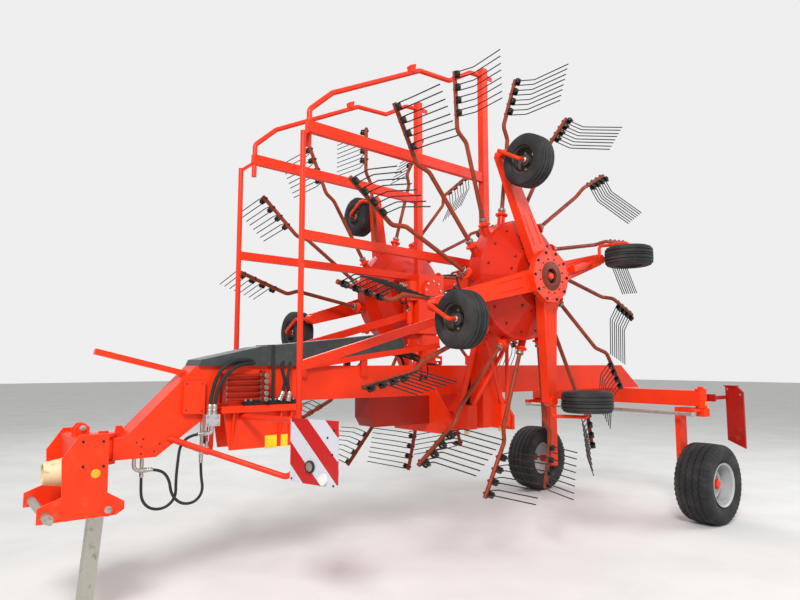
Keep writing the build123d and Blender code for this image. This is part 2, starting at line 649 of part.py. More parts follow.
def arm_tube():
    """Tube of one arm, with its bearing axis on X."""
    tip = (arm_reach, 0, end_side)
    tube = bent_tube([(boss_out, 0, 0), (crank_start, 0, 0), (crank_end, 0, crank_side), tip], arm_r, 90)
    for pair in range(tine_pairs):
        at = tine_first + pair * tine_pitch
        tube += on_arm_end(block(at - 20, at + 20, 0, seat_top, -12, 12))
    return tube


def bent_strip(points, width):
    """Outline of a strip of even width through (t, y) points."""
    left = [(t - width / 2, y) for t, y in points]
    right = [(t + width / 2, y) for t, y in points]
    return left + right[::-1]


def double_tine(at):
    """Two bent wires and the coils between them, on the seat at this place."""
    coil_plane = Plane(origin=(at - pair_half - wire / 2, coil_y, 0), x_dir=(0, 1, 0), z_dir=(1, 0, 0))
    spring = extrude(coil_plane * Rot(0, 0, 22.5) * RegularPolygon(coil_r, 8), 2 * pair_half + wire)
    strip = bent_strip([(coil_flat - 6, coil_y), (kink_t, kink_y), (tine_t, tine_y)], wire)
    for offset in (-pair_half, pair_half):
        wire_plane = Plane(origin=(at + offset - wire / 2, 0, 0), x_dir=(0, 0, 1), z_dir=(-1, 0, 0))
        face = wire_plane * make_face(Polyline(*strip, close=True).edges())
        spring += extrude(face, -wire)
    return on_arm_end(spring)


def turn_of(angle_deg):
    """How far the cam has turned an arm about its own axis at this place."""
    down_turn = -17
    lift_turn = 95
    lift_at = 192
    lift_half = 122
    away = abs((angle_deg - lift_at + 180) % 360 - 180)
    if away >= lift_half:
        return down_turn
    return down_turn + lift_turn * math.cos(math.radians(90 * away / lift_half)) ** 2


one_tube = arm_tube()
springs = [double_tine(tine_first + pair * tine_pitch) for pair in range(tine_pairs)]
for name, side in (("left", 1), ("right", -1)):
    tubes = []
    tines = []
    for index in range(arm_count):
        angle = arm_phase[name] + index * arm_step
        at_bearing = Pos(0, arm_y, arm_side) * Rot(turn_of(angle), 0, 0)
        tubes.append(placed(at_bearing * one_tube, angle))
        for spring in springs:
            tines.append(placed(at_bearing * spring, angle))
    if side < 0:
        tubes = [across_y(tube) for tube in tubes]
        tines = [across_y(spring) for spring in tines]
    parts["tine_arms_" + name] = Compound(children=tubes)
    parts["tines_" + name] = Compound(children=tines)

# Rotor carriages: hub plate, four beams with their end sleeves, wheel brackets
wheel_r = 225
wheel_w = 190
wheel_y = ride_y - wheel_r
tip_r = 1120
sleeve_y0 = 925
sleeve_y1 = 1025
beam_root_r = 150
beam_w_hub = 190
beam_w_tip = 110
groove_r = 8
groove_off = 42
groove_r0 = 290
groove_r1 = 560
caster_r = 45
caster_pin_r = 20
trail = 130
wheel_table = (
    # key, angle of its beam, steered or fixed, trail
    ("front", -15, "caster", trail),
    ("outer", 75, "caster", trail),
    ("rear", 165, "fixed", 70),
    ("inner", 255, "fixed", trail),
)


def beam_outer_y(r):
    """Height of a beam's outer face above the rotor plane at radius r."""
    along = (r - beam_root_r) / (tip_r - beam_root_r)
    return 1160 + 45 - along * (1160 + 45 - 965 - 40)


def carriage_beam():
    """One sloping, tapering beam along +X from under the hub plate to its sleeve."""
    hub_face = Plane(origin=(beam_root_r, 1160, 0), z_dir=(1, 0, 0), x_dir=(0, 1, 0))
    tip_face = Plane(origin=(tip_r, 965, 0), z_dir=(1, 0, 0), x_dir=(0, 1, 0))
    beam = loft([hub_face * Rectangle(90, beam_w_hub), tip_face * Rectangle(80, beam_w_tip)])
    beam -= block(0, tip_r, hub_plate_y, hub_plate_y + hub_plate_t, -beam_w_hub, beam_w_hub)
    for groove_z in (-groove_off, groove_off):
        beam -= rod((groove_r0, beam_outer_y(groove_r0) + 2, groove_z),
                    (groove_r1, beam_outer_y(groove_r1) + 2, groove_z), groove_r)
    return beam - rod((tip_r, sleeve_y0 - 1, 0), (tip_r, sleeve_y1 + 1, 0), caster_r)


def tip_point(angle_deg):
    """Centre of the sleeve at the end of a carriage beam, as x and z."""
    angle = math.radians(angle_deg)
    return rotor_x + tip_r * math.cos(angle), rotor_z + tip_r * math.sin(angle)


def adjuster():
    """Height adjuster on the outer face of the rear beam: barrel, rod and two end lugs."""
    unit = rod((400, beam_outer_y(400) + 42, 0), (640, beam_outer_y(640) + 42, 0), 30)
    unit += rod((640, beam_outer_y(640) + 42, 0), (800, beam_outer_y(800) + 42, 0), 14)
    for lug_r in (395, 800):
        unit += block(lug_r - 15, lug_r + 15, beam_outer_y(lug_r) - 20, beam_outer_y(lug_r) + 70, -22, 22)
    return unit - one_beam


hub_plate_r = 235
hub_bore_r = 75
hub_face = Plane(origin=(0, hub_plate_y, 0), x_dir=(1, 0, 0), z_dir=(0, 1, 0))
hub_plate = extrude(hub_face * RegularPolygon(hub_plate_r, 10), hub_plate_t)
hub_plate -= rod((0, hub_plate_y + 20, 0), (0, hub_plate_y + hub_plate_t + 1, 0), hub_bore_r)
hub_plate = Pos(rotor_x, 0, rotor_z) * hub_plate
one_beam = carriage_beam()
stub_r = 16
for name, side in (("left", 1), ("right", -1)):
    carriage = [hub_plate]
    for key, angle, kind, back in wheel_table:
        x, z = tip_point(angle)
        if kind == "fixed":
            up = 1 if key == "rear" else -1
            over = wheel_w / 2 + 40
            sleeve = ring_y(x, z, sleeve_y0, sleeve_y1, caster_r)
            sleeve += bent_tube([(x, sleeve_y1 - 30, z), (x, sleeve_y1 - 30, z + up * over),
                                 (x - back, wheel_y, z + up * over), (x - back, wheel_y, z + up * 30)],
                                stub_r, 25)
        else:
            sleeve = ring_y(x, z, sleeve_y0, sleeve_y1, caster_r, caster_pin_r + fit_gap)
        carriage.append(sleeve)
        carriage.append(placed(one_beam, angle) - sleeve)
    carriage.append(placed(adjuster(), 165))
    if side < 0:
        carriage = [across_y(piece) for piece in carriage]
    parts["carriage_" + name] = Compound(children=carriage)

    for key, angle, kind, back in wheel_table:
        x, z = tip_point(angle)
        if kind == "caster":
            fork = rod((x, sleeve_y0 + 5, z), (x, sleeve_y1 + 25, z), caster_pin_r)
            side_x = x + wheel_w / 2 + 40
            fork += bent_tube([(x - 10, sleeve_y1 + 22, z), (side_x, sleeve_y1 + 22, z),
                               (side_x, wheel_y, z - back), (x + 30, wheel_y, z - back)], stub_r, 30)
            parts["caster_fork_%s_%s" % (key, name)] = fork if side > 0 else across_y(fork)
            centre = (x, wheel_y, z - back)
            spin = (1, 0, 0)
        else:
            centre = (x - back, wheel_y, z)
            spin = (0, 0, 1)
        half = wheel_w / 2
        outline = [(stub_r + fit_gap, -half + 30), (110, -half + 30), (120, -half + 5), (wheel_r - 40, -half),
                   (wheel_r - 8, -half + 25), (wheel_r, 0), (wheel_r - 8, half - 25),
                   (wheel_r - 40, half), (120, half - 5), (110, half - 30),
                   (stub_r + fit_gap, half - 30)]
        face = make_face(Polyline(*outline, close=True).edges())
        wheel = revolve(face, axis=Axis.Y)
        turn = Rot(0, 0, -90) if spin == (1, 0, 0) else Rot(90, 0, 0)
        wheel = Pos(*centre) * turn * wheel
        parts["rotor_wheel_%s_%s" % (key, name)] = wheel if side > 0 else across_y(wheel)

# Marker panels on their bent tubes, and the rear lighting boards
panel_size = 423
panel_t = 12
panel_x = 4800
panel_y = 980
panel_z = 1135
panel_turn = 17
frame_root_x = neck_x + 170
frame_x = 4832
frame_y = 765
frame_r = 20
board_x = -420
board_t = 30
board_w = 190
board_top = 1460
board_low = 780
board_cut = 60
lamp_r = 48
lamp_levels = (1330, 1210)
marker_frames = []
panels = []
boards = []
for side in (-1, 1):
    frame = bent_tube([(frame_root_x, beam_half_w, 1190), (frame_x, frame_y, 930), (frame_x, frame_y, 1330),
                       (skirt_front_x - 150, beam_half_w, 1320)], frame_r, 60)
    panel_place = Pos(panel_x, panel_y, panel_z) * Rot(0, 0, panel_turn)
    for level in (-120, 120):
        bracket = Box(8, panel_size - 10, 40)
        frame += panel_place * Pos(-panel_t / 2 - 4 - fit_gap, 0, level) * bracket
    panel = panel_place * Box(panel_t, panel_size, panel_size)
    board_in = kingpin_y + 80
    board_out = board_in + board_w
    lamp_y = board_in + board_w / 2
    board_outline = [(board_in, board_top), (board_out - board_cut, board_top), (board_out, board_top - board_cut),
                     (board_out, board_low), (board_in, board_low + 80)]
    board = cross_plate(board_outline, board_x - board_t / 2, board_x + board_t / 2)
    board += block(board_x - board_t, board_x + board_t, board_in - 10, board_out - board_cut,
                   board_top, board_top + 15)
    for lamp_z in lamp_levels:
        board += rod((board_x - board_t / 2 - 18, lamp_y, lamp_z), (board_x, lamp_y, lamp_z), lamp_r)
    arm_end = board_x + board_t / 2
    board += block(arm_end, -axle_beam_w / 2, kingpin_y + 70, kingpin_y + 110, 1320, 1360)
    board += block(-axle_beam_w / 2 - 20, -axle_beam_w / 2, kingpin_y - 120, kingpin_y + 110, 1300, 1380)
    frame -= block(skirt_rear_x, nose_x, -beam_half_w, beam_half_w, nose_z, beam_top)
    if side < 0:
        frame = across_y(frame)
        panel = across_y(panel)
        board = across_y(board)
    marker_frames.append(frame)
    panels.append(panel)
    boards.append(board)
parts["marker_frames"] = Compound(children=marker_frames)
parts["marker_panels"] = Compound(children=panels)
parts["light_boards"] = Compound(children=boards)

os.makedirs("parts", exist_ok=True)
to_middle = Pos(-mid_x, 0, 0)
for name, shape in parts.items():
    export_step(to_middle * shape, "parts/%s.step" % name)
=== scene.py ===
import json
import math

import bmesh
import bpy
from mathutils import Matrix, Vector


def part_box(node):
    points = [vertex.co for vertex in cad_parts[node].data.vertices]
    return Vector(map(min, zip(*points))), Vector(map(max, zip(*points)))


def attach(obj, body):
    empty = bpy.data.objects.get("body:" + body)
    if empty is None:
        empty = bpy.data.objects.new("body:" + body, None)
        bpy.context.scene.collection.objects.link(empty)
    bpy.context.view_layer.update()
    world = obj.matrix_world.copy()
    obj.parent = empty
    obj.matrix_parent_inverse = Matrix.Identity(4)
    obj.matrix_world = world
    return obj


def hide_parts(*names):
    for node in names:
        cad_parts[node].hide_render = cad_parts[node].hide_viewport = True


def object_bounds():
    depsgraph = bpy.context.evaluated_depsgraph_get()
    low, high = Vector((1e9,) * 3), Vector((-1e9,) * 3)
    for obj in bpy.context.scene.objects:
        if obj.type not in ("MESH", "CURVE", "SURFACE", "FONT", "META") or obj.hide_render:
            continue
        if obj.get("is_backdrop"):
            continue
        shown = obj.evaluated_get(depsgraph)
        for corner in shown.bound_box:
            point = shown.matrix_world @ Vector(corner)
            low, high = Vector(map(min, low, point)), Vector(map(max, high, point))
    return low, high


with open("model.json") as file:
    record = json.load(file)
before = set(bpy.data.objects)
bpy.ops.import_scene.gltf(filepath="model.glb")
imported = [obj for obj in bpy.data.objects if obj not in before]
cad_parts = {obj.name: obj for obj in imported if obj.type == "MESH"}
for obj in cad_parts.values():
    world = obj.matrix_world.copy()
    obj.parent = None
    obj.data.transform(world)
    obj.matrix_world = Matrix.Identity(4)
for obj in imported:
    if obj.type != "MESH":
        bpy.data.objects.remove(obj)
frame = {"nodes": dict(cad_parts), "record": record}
cad_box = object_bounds()

# The camera stands in front of the rake on its left side, a little above
# waist height, and looks slightly up at the folded rotors.
# Its place and lens are those found for the photograph.
AXLE_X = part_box("tyre_left")[0].x + 0.425
EYE = Vector((AXLE_X + 6.905, 4.651, 1.713))
AIM_YAW = math.radians(52.42)
AIM_PITCH = math.radians(5.89)
LENS_MM = 27.96

scene = bpy.context.scene
camera_data = bpy.data.cameras.new("camera")
camera_data.lens = LENS_MM
camera_data.sensor_width = 36


def placed(name, data):
    """A new object in the scene, at the origin, and its data under the same name."""
    data.name = name
    made = bpy.data.objects.new(name, data)
    scene.collection.objects.link(made)
    return made


camera = placed("camera", camera_data)
level_share = math.cos(AIM_PITCH)
aim = Vector((-math.cos(AIM_YAW) * level_share, -math.sin(AIM_YAW) * level_share, math.sin(AIM_PITCH)))
camera.location = EYE
camera.rotation_euler = aim.to_track_quat("-Z", "Y").to_euler()
scene.camera = camera


# The floor is a wide pale slab; the world behind it is the same pale grey
# for the camera and for reflections, and a soft even light for the rest.
def feed_input(tree, target, value):
    """Feeds an input of a node: from a socket or a wire by a link, or by a plain value."""
    if isinstance(value, Wire):
        value = value.socket
    if isinstance(value, bpy.types.NodeSocket):
        tree.links.new(value, target)
    else:
        target.default_value = value


def add_node(tree, kind, settings, values, out=0):
    """A new node with its settings and inputs; gives one of its outputs."""
    made = tree.nodes.new(kind)
    for key, value in settings.items():
        setattr(made, key, value)
    for key, value in values.items():
        feed_input(tree, made.inputs[key], value)
    return made.outputs[out]


class Wire:
    """A value in a shader tree that can be added, multiplied and compared like a number."""

    def __init__(self, finish, socket):
        self.finish = finish
        self.socket = socket

    def join(self, operation, first, second):
        return self.finish.node("ShaderNodeMath", {"operation": operation}, {0: first, 1: second})

    def __add__(self, other):
        return self.join("ADD", self, other)

    def __radd__(self, other):
        return self.join("ADD", other, self)

    def __sub__(self, other):
        return self.join("SUBTRACT", self, other)

    def __mul__(self, other):
        return self.join("MULTIPLY", self, other)

    def __truediv__(self, other):
        return self.join("DIVIDE", self, other)

    def __gt__(self, other):
        return self.join("GREATER_THAN", self, other)


class Finish:
    """A material being built: its tree, its main shader and one way to add any node."""

    def __init__(self, name, **settings):
        self.material = bpy.data.materials.new(name)
        self.material.use_nodes = True
        self.tree = self.material.node_tree
        self.shader = self.tree.nodes["Principled BSDF"]
        for key, value in settings.items():
            self.feed(key.replace("_", " "), value)
        self.place = self.node("ShaderNodeTexCoord", {}, {}, "Object")

    def node(self, kind, settings, values, out=0):
        return Wire(self, add_node(self.tree, kind, settings, values, out))

    def noise(self, scale, detail=4.0, roughness=0.55, stretch=None):
        where = self.place
        if stretch:
            where = self.node("ShaderNodeMapping", {}, {"Vector": where, "Scale": stretch})
        values = {"Vector": where, "Scale": scale, "Detail": detail, "Roughness": roughness}
        return self.node("ShaderNodeTexNoise", {}, values)

    def ramp(self, value, low, high):
        """0 below low and 1 above high, with a soft step between them."""
        values = {"Value": value, "From Min": low, "From Max": high, "To Min": 0.0, "To Max": 1.0}
        return self.node("ShaderNodeMapRange", {"interpolation_type": "SMOOTHSTEP"}, values)

    def blend(self, mask, first, second):
        """Colour first where the mask is 0 and second where it is 1."""
        return self.node("ShaderNodeMix", {"data_type": "RGBA"}, {0: mask, 6: first, 7: second}, 2)

    def height(self):
        """How high the point is above the ground, in metres."""
        return self.node("ShaderNodeSeparateXYZ", {}, {"Vector": self.place}, "Z")

    def bump(self, value, strength, distance):
        values = {"Height": value, "Strength": strength, "Distance": distance}
        self.feed("Normal", self.node("ShaderNodeBump", {}, values, "Normal"))

    def feed(self, key, value):
        feed_input(self.tree, self.shader.inputs[key], value)


def rgb(red, green, blue):
    """A colour written as it looks on screen, 0 to 255, made linear for the shader."""
    linear = []
    for channel in (red, green, blue):
        c = channel / 255
        linear.append(c / 12.92 if c <= 0.04045 else ((c + 0.055) / 1.055) ** 2.4)
    return (*linear, 1.0)


FLOOR_HALF = 60.0
floor_mesh = bpy.data.meshes.new("floor")
corners = [(x * FLOOR_HALF, y * FLOOR_HALF, 0) for x, y in ((-1, -1), (1, -1), (1, 1), (-1, 1))]
floor_mesh.from_pydata(corners, [], [(0, 1, 2, 3)])
floor = placed("floor", floor_mesh)
floor_finish = Finish("pale_floor", Roughness=0.9)
floor_tone = floor_finish.ramp(floor_finish.noise(1.2), 0.3, 0.7)
floor_finish.feed("Base Color", floor_finish.blend(floor_tone, rgb(222, 222, 220), rgb(230, 230, 228)))
floor_mesh.materials.append(floor_finish.material)
floor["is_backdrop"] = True

world = bpy.data.worlds.new("studio")
scene.world = world
world.use_nodes = True
sky = world.node_tree
back = sky.nodes["Background"]
back.inputs["Color"].default_value = (1, 1, 1, 1)
SKY_LIGHT = 0.52
BACKDROP_LIGHT = 0.86
camera_ray = add_node(sky, "ShaderNodeLightPath", {}, {}, "Is Camera Ray")
glossy_ray = camera_ray.node.outputs["Is Glossy Ray"]
seen = add_node(sky, "ShaderNodeMath", {"operation": "MAXIMUM"}, {0: camera_ray, 1: glossy_ray})
levels = {"Value": seen, "To Min": SKY_LIGHT, "To Max": BACKDROP_LIGHT}
feed_input(sky, back.inputs["Strength"], add_node(sky, "ShaderNodeMapRange", {}, levels))

lamps = (
    # name, place, aimed at, width, watts
    ("key", (7.5, 7.5, 9.0), (0.0, 0.0, 1.6), 3.0, 1350),
    ("fill", (-8.0, 6.0, 6.0), (0.0, 0.0, 1.8), 6.0, 360),
    ("rim", (-3.0, -9.0, 8.0), (0.0, 0.0, 2.0), 6.0, 320),
)
for name, place, target, width, watts in lamps:
    lamp_data = bpy.data.lights.new(name, "AREA")
    lamp_data.size = width
    lamp_data.energy = watts
    lamp = placed(name, lamp_data)
    lamp.location = place
    lamp.rotation_euler = (Vector(target) - Vector(place)).to_track_quat("-Z", "Y").to_euler()

scene.view_settings.view_transform = "Standard"


# Vermilion paint of the welded frames: gloss enamel over steel, slightly
# faded in patches, with dust low down, small chips and rust along them.
def enamel(name, colour, dark, gloss=0.36, dirt=0.5, dusty=0.35, rust=0.0):
    """Gloss paint in light and dark patches, with specks of dirt, dust near the ground and rust."""
    paint = Finish(name, Coat_Weight=0.05, Coat_Roughness=0.2, Specular_IOR_Level=0.24)
    uneven = paint.ramp(paint.noise(3.0), 0.35, 0.7)
    tone = paint.blend(uneven * 0.5, colour, dark)
    dust = paint.ramp(paint.noise(14.0, 6.0), 0.52, 0.72) * paint.ramp(paint.height(), 1.6, 0.2) * dusty
    tone = paint.blend(dust, tone, rgb(150, 118, 92))
    specks = paint.ramp(paint.noise(90.0, 2.0), 0.66, 0.74) * dirt
    tone = paint.blend(specks * 0.35, tone, rgb(70, 22, 14))
    patches = paint.noise(22.0, 8.0, 0.7)
    worn = paint.ramp(patches, 0.62 - rust * 0.2, 0.7 - rust * 0.12) * min(1.0, rust * 1.6)
    tone = paint.blend(worn, tone, rgb(104, 58, 38))
    paint.feed("Base Color", tone)
    paint.feed("Roughness", gloss + uneven * 0.08 + dust * 0.4 + specks * 0.15 + worn * 0.3)
    paint.bump(paint.noise(260.0, 2.0) + worn * -0.6, 0.08, 0.0006)
    return paint.material


ORANGE = rgb(240, 56, 16)
ORANGE_DARK = rgb(214, 46, 14)
beam_paint = enamel("beam_paint", ORANGE, ORANGE_DARK, rust=0.06)
frame_paint = enamel("frame_paint", rgb(230, 52, 20), rgb(204, 42, 20), rust=0.05)
carriage_paint = enamel("carriage_paint", ORANGE, rgb(206, 38, 8), rust=0.12)
drum_paint = enamel("drum_paint", rgb(206, 38, 12), rgb(176, 30, 12), rust=0.15)
arm_paint = enamel("arm_paint", rgb(152, 56, 28), rgb(98, 42, 24), 0.5, rust=0.6)
black_paint = enamel("black_paint", rgb(26, 26, 28), rgb(40, 38, 36), 0.42, 0.2, 0.4)
# The pipes' red is darker than the frames': partly their dirt, partly painted shade.
pipe_paint = enamel("pipe_paint", rgb(158, 34, 18), rgb(112, 28, 18), 0.45, rust=0.3)
box_paint = enamel("box_paint", rgb(148, 28, 14), rgb(116, 22, 12), 0.42, rust=0.15)
rim_silver = enamel("rim_silver", rgb(186, 188, 190), rgb(158, 160, 162), 0.36, 0.3, 0.3)
board_red = enamel("board_red", rgb(168, 24, 16), rgb(140, 20, 16), 0.4)


# Bare metals: zinc-plated bolts and pins, hard chrome on the piston rods, the
# cast alloy of the hose block, and steel that has worn, darkened or rusted.
def metal(name, colour, other, roughness, streak=60.0):
    steel = Finish(name, Metallic=1.0)
    grain = steel.noise(streak, 4.0, 0.5, (1, 1, 6))
    spots = steel.ramp(steel.noise(18.0, 6.0), 0.55, 0.75)
    tone = steel.blend(grain * 0.5, colour, other)
    steel.feed("Base Color", steel.blend(spots * 0.7, tone, rgb(116, 98, 78)))
    steel.feed("Roughness", roughness + grain * 0.2 + spots * 0.15)
    return steel.material


zinc = metal("zinc", rgb(196, 194, 184), rgb(130, 128, 120), 0.34)
chrome = metal("chrome", rgb(225, 225, 228), rgb(190, 190, 196), 0.12, 12.0)
rusty = metal("rusty_steel", rgb(122, 86, 62), rgb(72, 46, 34), 0.55, 30.0)
worn_steel = metal("worn_steel", rgb(158, 152, 142), rgb(104, 92, 80), 0.42)
dark_steel = metal("dark_steel", rgb(94, 92, 84), rgb(58, 54, 48), 0.5)
cast_alloy = metal("cast_alloy", rgb(206, 208, 212), rgb(168, 170, 174), 0.42, 24.0)


# Rubber of the tyres and hoses: moulded and near black, greyed by the dust
# that has settled on it in patches.
def rubber(name, colour, dust_level=0.3):
    tyre = Finish(name)
    fine = tyre.noise(40.0, 5.0)
    dust = tyre.ramp(tyre.noise(5.0, 4.0), 0.4, 0.75) * dust_level
    tyre.feed("Base Color", tyre.blend(dust, colour, rgb(112, 106, 98)))
    tyre.feed("Roughness", 0.72 + fine * 0.15)
    tyre.bump(fine, 0.15, 0.001)
    return tyre.material


tyre_rubber = rubber("tyre_rubber", rgb(23, 23, 25), 0.2)
hose_rubber = rubber("hose_rubber", rgb(20, 20, 22), 0.12)


# Moulded plastics: the dark grey cover of the beam and the cream guard of the
# drive shaft, slightly mottled by the sun, with grime in patches.
def plastic(name, colour, other, roughness=0.45):
    skin = Finish(name)
    mottle = skin.ramp(skin.noise(6.0, 5.0), 0.35, 0.7)
    grime = skin.ramp(skin.noise(24.0, 6.0), 0.56, 0.74)
    tone = skin.blend(mottle * 0.6, colour, other)
    skin.feed("Base Color", skin.blend(grime * 0.4, tone, rgb(96, 86, 72)))
    skin.feed("Roughness", roughness + mottle * 0.12)
    skin.bump(skin.noise(320.0, 2.0), 0.12, 0.0006)
    return skin.material


cover_plastic = plastic("cover_plastic", rgb(46, 55, 56), rgb(62, 70, 69))
cream_plastic = plastic("cream_plastic", rgb(232, 214, 172), rgb(210, 190, 142))


# Film of the marker panels: red and white stripes that slope down and out,
# as the warning film of the trade has them.
STRIPE_RUN = 0.152
FIRST_RED = 2.1235
STRIPES_AHEAD = 40.5


def stripes():
    """Film whose colour changes with how far out and how high a point lies."""
    film = Finish("marker_film", Roughness=0.35)
    split = film.node("ShaderNodeSeparateXYZ", {}, {"Vector": film.place}, "Y")
    high = film.height()
    sideways = film.node("ShaderNodeMath", {"operation": "ABSOLUTE"}, {0: split})
    run = (sideways + high - FIRST_RED) / (2 * STRIPE_RUN)
    band = film.node("ShaderNodeMath", {"operation": "FRACT"}, {0: run + STRIPES_AHEAD})
    scuffs = film.ramp(film.noise(34.0, 7.0, 0.7), 0.6, 0.7)
    clean = film.blend(band > 0.5, rgb(194, 196, 204), rgb(180, 8, 10))
    film.feed("Base Color", film.blend(scuffs * 0.45, clean, rgb(120, 108, 104)))
    return film.material


marker_film = stripes()


# Finishes of the solids: each takes the paint, metal, rubber, plastic or film
# that its real one has, by the name of its finish in the record.
FINISHES = {
    "beam_paint": beam_paint, "frame_paint": frame_paint, "boom_paint": beam_paint,
    "carriage_paint": carriage_paint, "drum_paint": drum_paint, "arm_paint": arm_paint,
    "cover_plastic": cover_plastic, "marker_film": marker_film, "board_paint": board_red,
    "bare_steel": zinc, "guard_plastic": cream_plastic, "zinc_steel": zinc,
    "rim_silver": rim_silver, "road_tyre": tyre_rubber, "small_tyre": tyre_rubber,
    "cylinder_paint": black_paint, "chrome_rod": chrome, "spring_wire": black_paint,
    "hose_rubber": hose_rubber, "pipe_paint": pipe_paint, "cast_alloy": cast_alloy, "box_paint": box_paint,
}
for part in frame["record"]["subparts"]:
    node = frame["nodes"][part["node"]]
    node.data.materials.clear()
    node.data.materials.append(FINISHES[part["material_slot"]])


# Spring tines: each is one black spring-steel wire with a coil each side of
# its clamp and two long kinked legs, four to an arm.
SIDES = (("left", 1), ("right", -1))


def at(x, y, z):
    """A place that is only moved, not turned."""
    return Matrix.Translation((x, y, z))


ROTOR = Vector((-0.285, 0.0, 2.465))
ARM_COUNT = 15
ARM_PHASE = {"left": 25.6, "right": 9.7}
ARM_Y = 0.850
ARM_SIDE = -0.250
CRANK_END = 1.400
CRANK_SIDE = -0.060
ARM_TIP = 1.905
TIP_SIDE = 0.038
END_SLOPE = math.atan2(TIP_SIDE - CRANK_SIDE, ARM_TIP - CRANK_END)
CAM_MIDDLE = 192
CAM_HALF = 122
CAM_REST = -17
CAM_SWING = 95
TINE_FIRST = 0.145
TINE_PITCH = 0.110
TINE_PAIRS = 4
COIL_LIFT = 0.049
COIL_RADIUS = 0.0222
COIL_TURN = 810
COIL_STEPS = 27
COIL_START = 0.003
WIRE = 0.0049
LEG_SPREAD = 0.026
LEG_BENDS = ((0.158, 0.087), (0.172, 0.093), (0.190, 0.095), (0.555, 0.122))


def turned(axis, degrees):
    return Matrix.Rotation(math.radians(degrees), 4, axis)


def cam_turn(degrees):
    """How far the cam has turned an arm about its own axis, by its place round the rotor."""
    away = abs((degrees - CAM_MIDDLE + 180) % 360 - 180)
    if away >= CAM_HALF:
        return CAM_REST
    return CAM_REST + CAM_SWING * math.cos(math.radians(90 * away / CAM_HALF)) ** 2


def arm_angle(name, index):
    return ARM_PHASE[name] + index * 360 / ARM_COUNT


def round_rotor(angle, offset):
    """A place at an angle round the left rotor's axle, its X axis pointing away from the axle."""
    return Matrix.Translation(ROTOR) @ turned("Y", -angle) @ Matrix.Translation(offset)


def bar_place(name, index):
    """Where the end bar of an arm lies: X along the bar and Y the way its tines point."""
    angle = arm_angle(name, index)
    bearing = round_rotor(angle, (0, ARM_Y, ARM_SIDE)) @ turned("X", cam_turn(angle))
    return bearing @ at(CRANK_END, 0, CRANK_SIDE) @ Matrix.Rotation(-END_SLOPE, 4, "Y")


def on_side(place, side, own="X"):
    """The place on the left; on the right its mirror image, for a shape alike both ways along own."""
    if side > 0:
        return place
    mirror = (-1, 1, 1, 1) if own == "X" else (1, -1, 1, 1)
    return Matrix.Diagonal((1, -1, 1, 1)) @ place @ Matrix.Diagonal(mirror)


def smooth(mesh, sharp_from=None):
    """Soft shading, but for edges that bend by more than an angle."""
    for polygon in mesh.polygons:
        polygon.use_smooth = True
    if sharp_from:
        mesh.set_sharp_from_angle(angle=math.radians(sharp_from))


def wire_curve(points, radius, sides, kind="POLY", steps=6):
    """A round line along points; sides 1 is six-sided, 3 ten-sided, 4 twelve-sided."""
    data = bpy.data.curves.new("line", "CURVE")
    data.dimensions = "3D"
    data.bevel_depth = radius
    data.bevel_resolution = sides
    data.use_fill_caps = True
    spline = data.splines.new(kind)
    spline.points.add(len(points) - 1)
    for point, place in zip(spline.points, points):
        point.co = (*place, 1)
    if kind == "NURBS":
        spline.order_u = 3
        spline.use_endpoint_u = True
        data.resolution_u = steps
    return data


def worked_mesh(thing):
    """The mesh that an object comes to with its line or its modifier worked out."""
    return bpy.data.meshes.new_from_object(thing.evaluated_get(bpy.context.evaluated_depsgraph_get()))


def wire_mesh(points, radius, sides, kind="POLY"):
    """The same line as a mesh."""
    line = placed("line", wire_curve(points, radius, sides, kind))
    mesh = worked_mesh(line)
    bpy.data.objects.remove(line)
    smooth(mesh)
    return mesh


def spread_tree():
    """Geometry Nodes that set one shape at every spot of a point mesh, turned and sized as the spot says."""
    tree = bpy.data.node_groups.new("spread", "GeometryNodeTree")
    tree.interface.new_socket("Spots", in_out="INPUT", socket_type="NodeSocketGeometry")
    shape_input = tree.interface.new_socket("Shape", in_out="INPUT", socket_type="NodeSocketObject")
    tree.interface.new_socket("Result", in_out="OUTPUT", socket_type="NodeSocketGeometry")
    enter = tree.nodes.new("NodeGroupInput")
    said = {}
    for label in ("facing", "growth"):
        vector = {"data_type": "FLOAT_VECTOR"}
        said[label] = add_node(tree, "GeometryNodeInputNamedAttribute", vector, {"Name": label})
    shape = add_node(tree, "GeometryNodeObjectInfo", {}, {"Object": enter.outputs["Shape"]}, "Geometry")
    spin = add_node(tree, "FunctionNodeEulerToRotation", {}, {0: said["facing"]})
    values = {"Points": enter.outputs["Spots"], "Instance": shape, "Rotation": spin, "Scale": said["growth"]}
    spots = add_node(tree, "GeometryNodeInstanceOnPoints", {}, values)
    real = add_node(tree, "GeometryNodeRealizeInstances", {}, {0: spots})
    feed_input(tree, tree.nodes.new("NodeGroupOutput").inputs[0], real)
    return tree, shape_input.identifier


SPREAD, SHAPE_INPUT = spread_tree()


def spread(name, mesh, places, finish, body):
    """One piece made of the mesh repeated at every place, riding on a body."""
    shape = placed(name + "_shape", mesh)
    spots = bpy.data.meshes.new(name + "_spots")
    spots.from_pydata([place.translation for place in places], [], [])
    for label in ("facing", "growth"):
        spots.attributes.new(label, "FLOAT_VECTOR", "POINT")
    facing = spots.attributes["facing"].data
    growth = spots.attributes["growth"].data
    for index, place in enumerate(places):
        facing[index].vector = place.to_euler("XYZ")
        growth[index].vector = [place.median_scale] * 3
    holder = placed(name + "_holder", spots)
    modifier = holder.modifiers.new("spread", "NODES")
    modifier.node_group = SPREAD
    modifier[SHAPE_INPUT] = shape
    result = worked_mesh(holder)
    bpy.data.objects.remove(holder)
    bpy.data.objects.remove(shape)
    for label in ("facing", "growth"):
        if label in result.attributes:
            result.attributes.remove(result.attributes[label])
    return piece(name, result, finish, body)


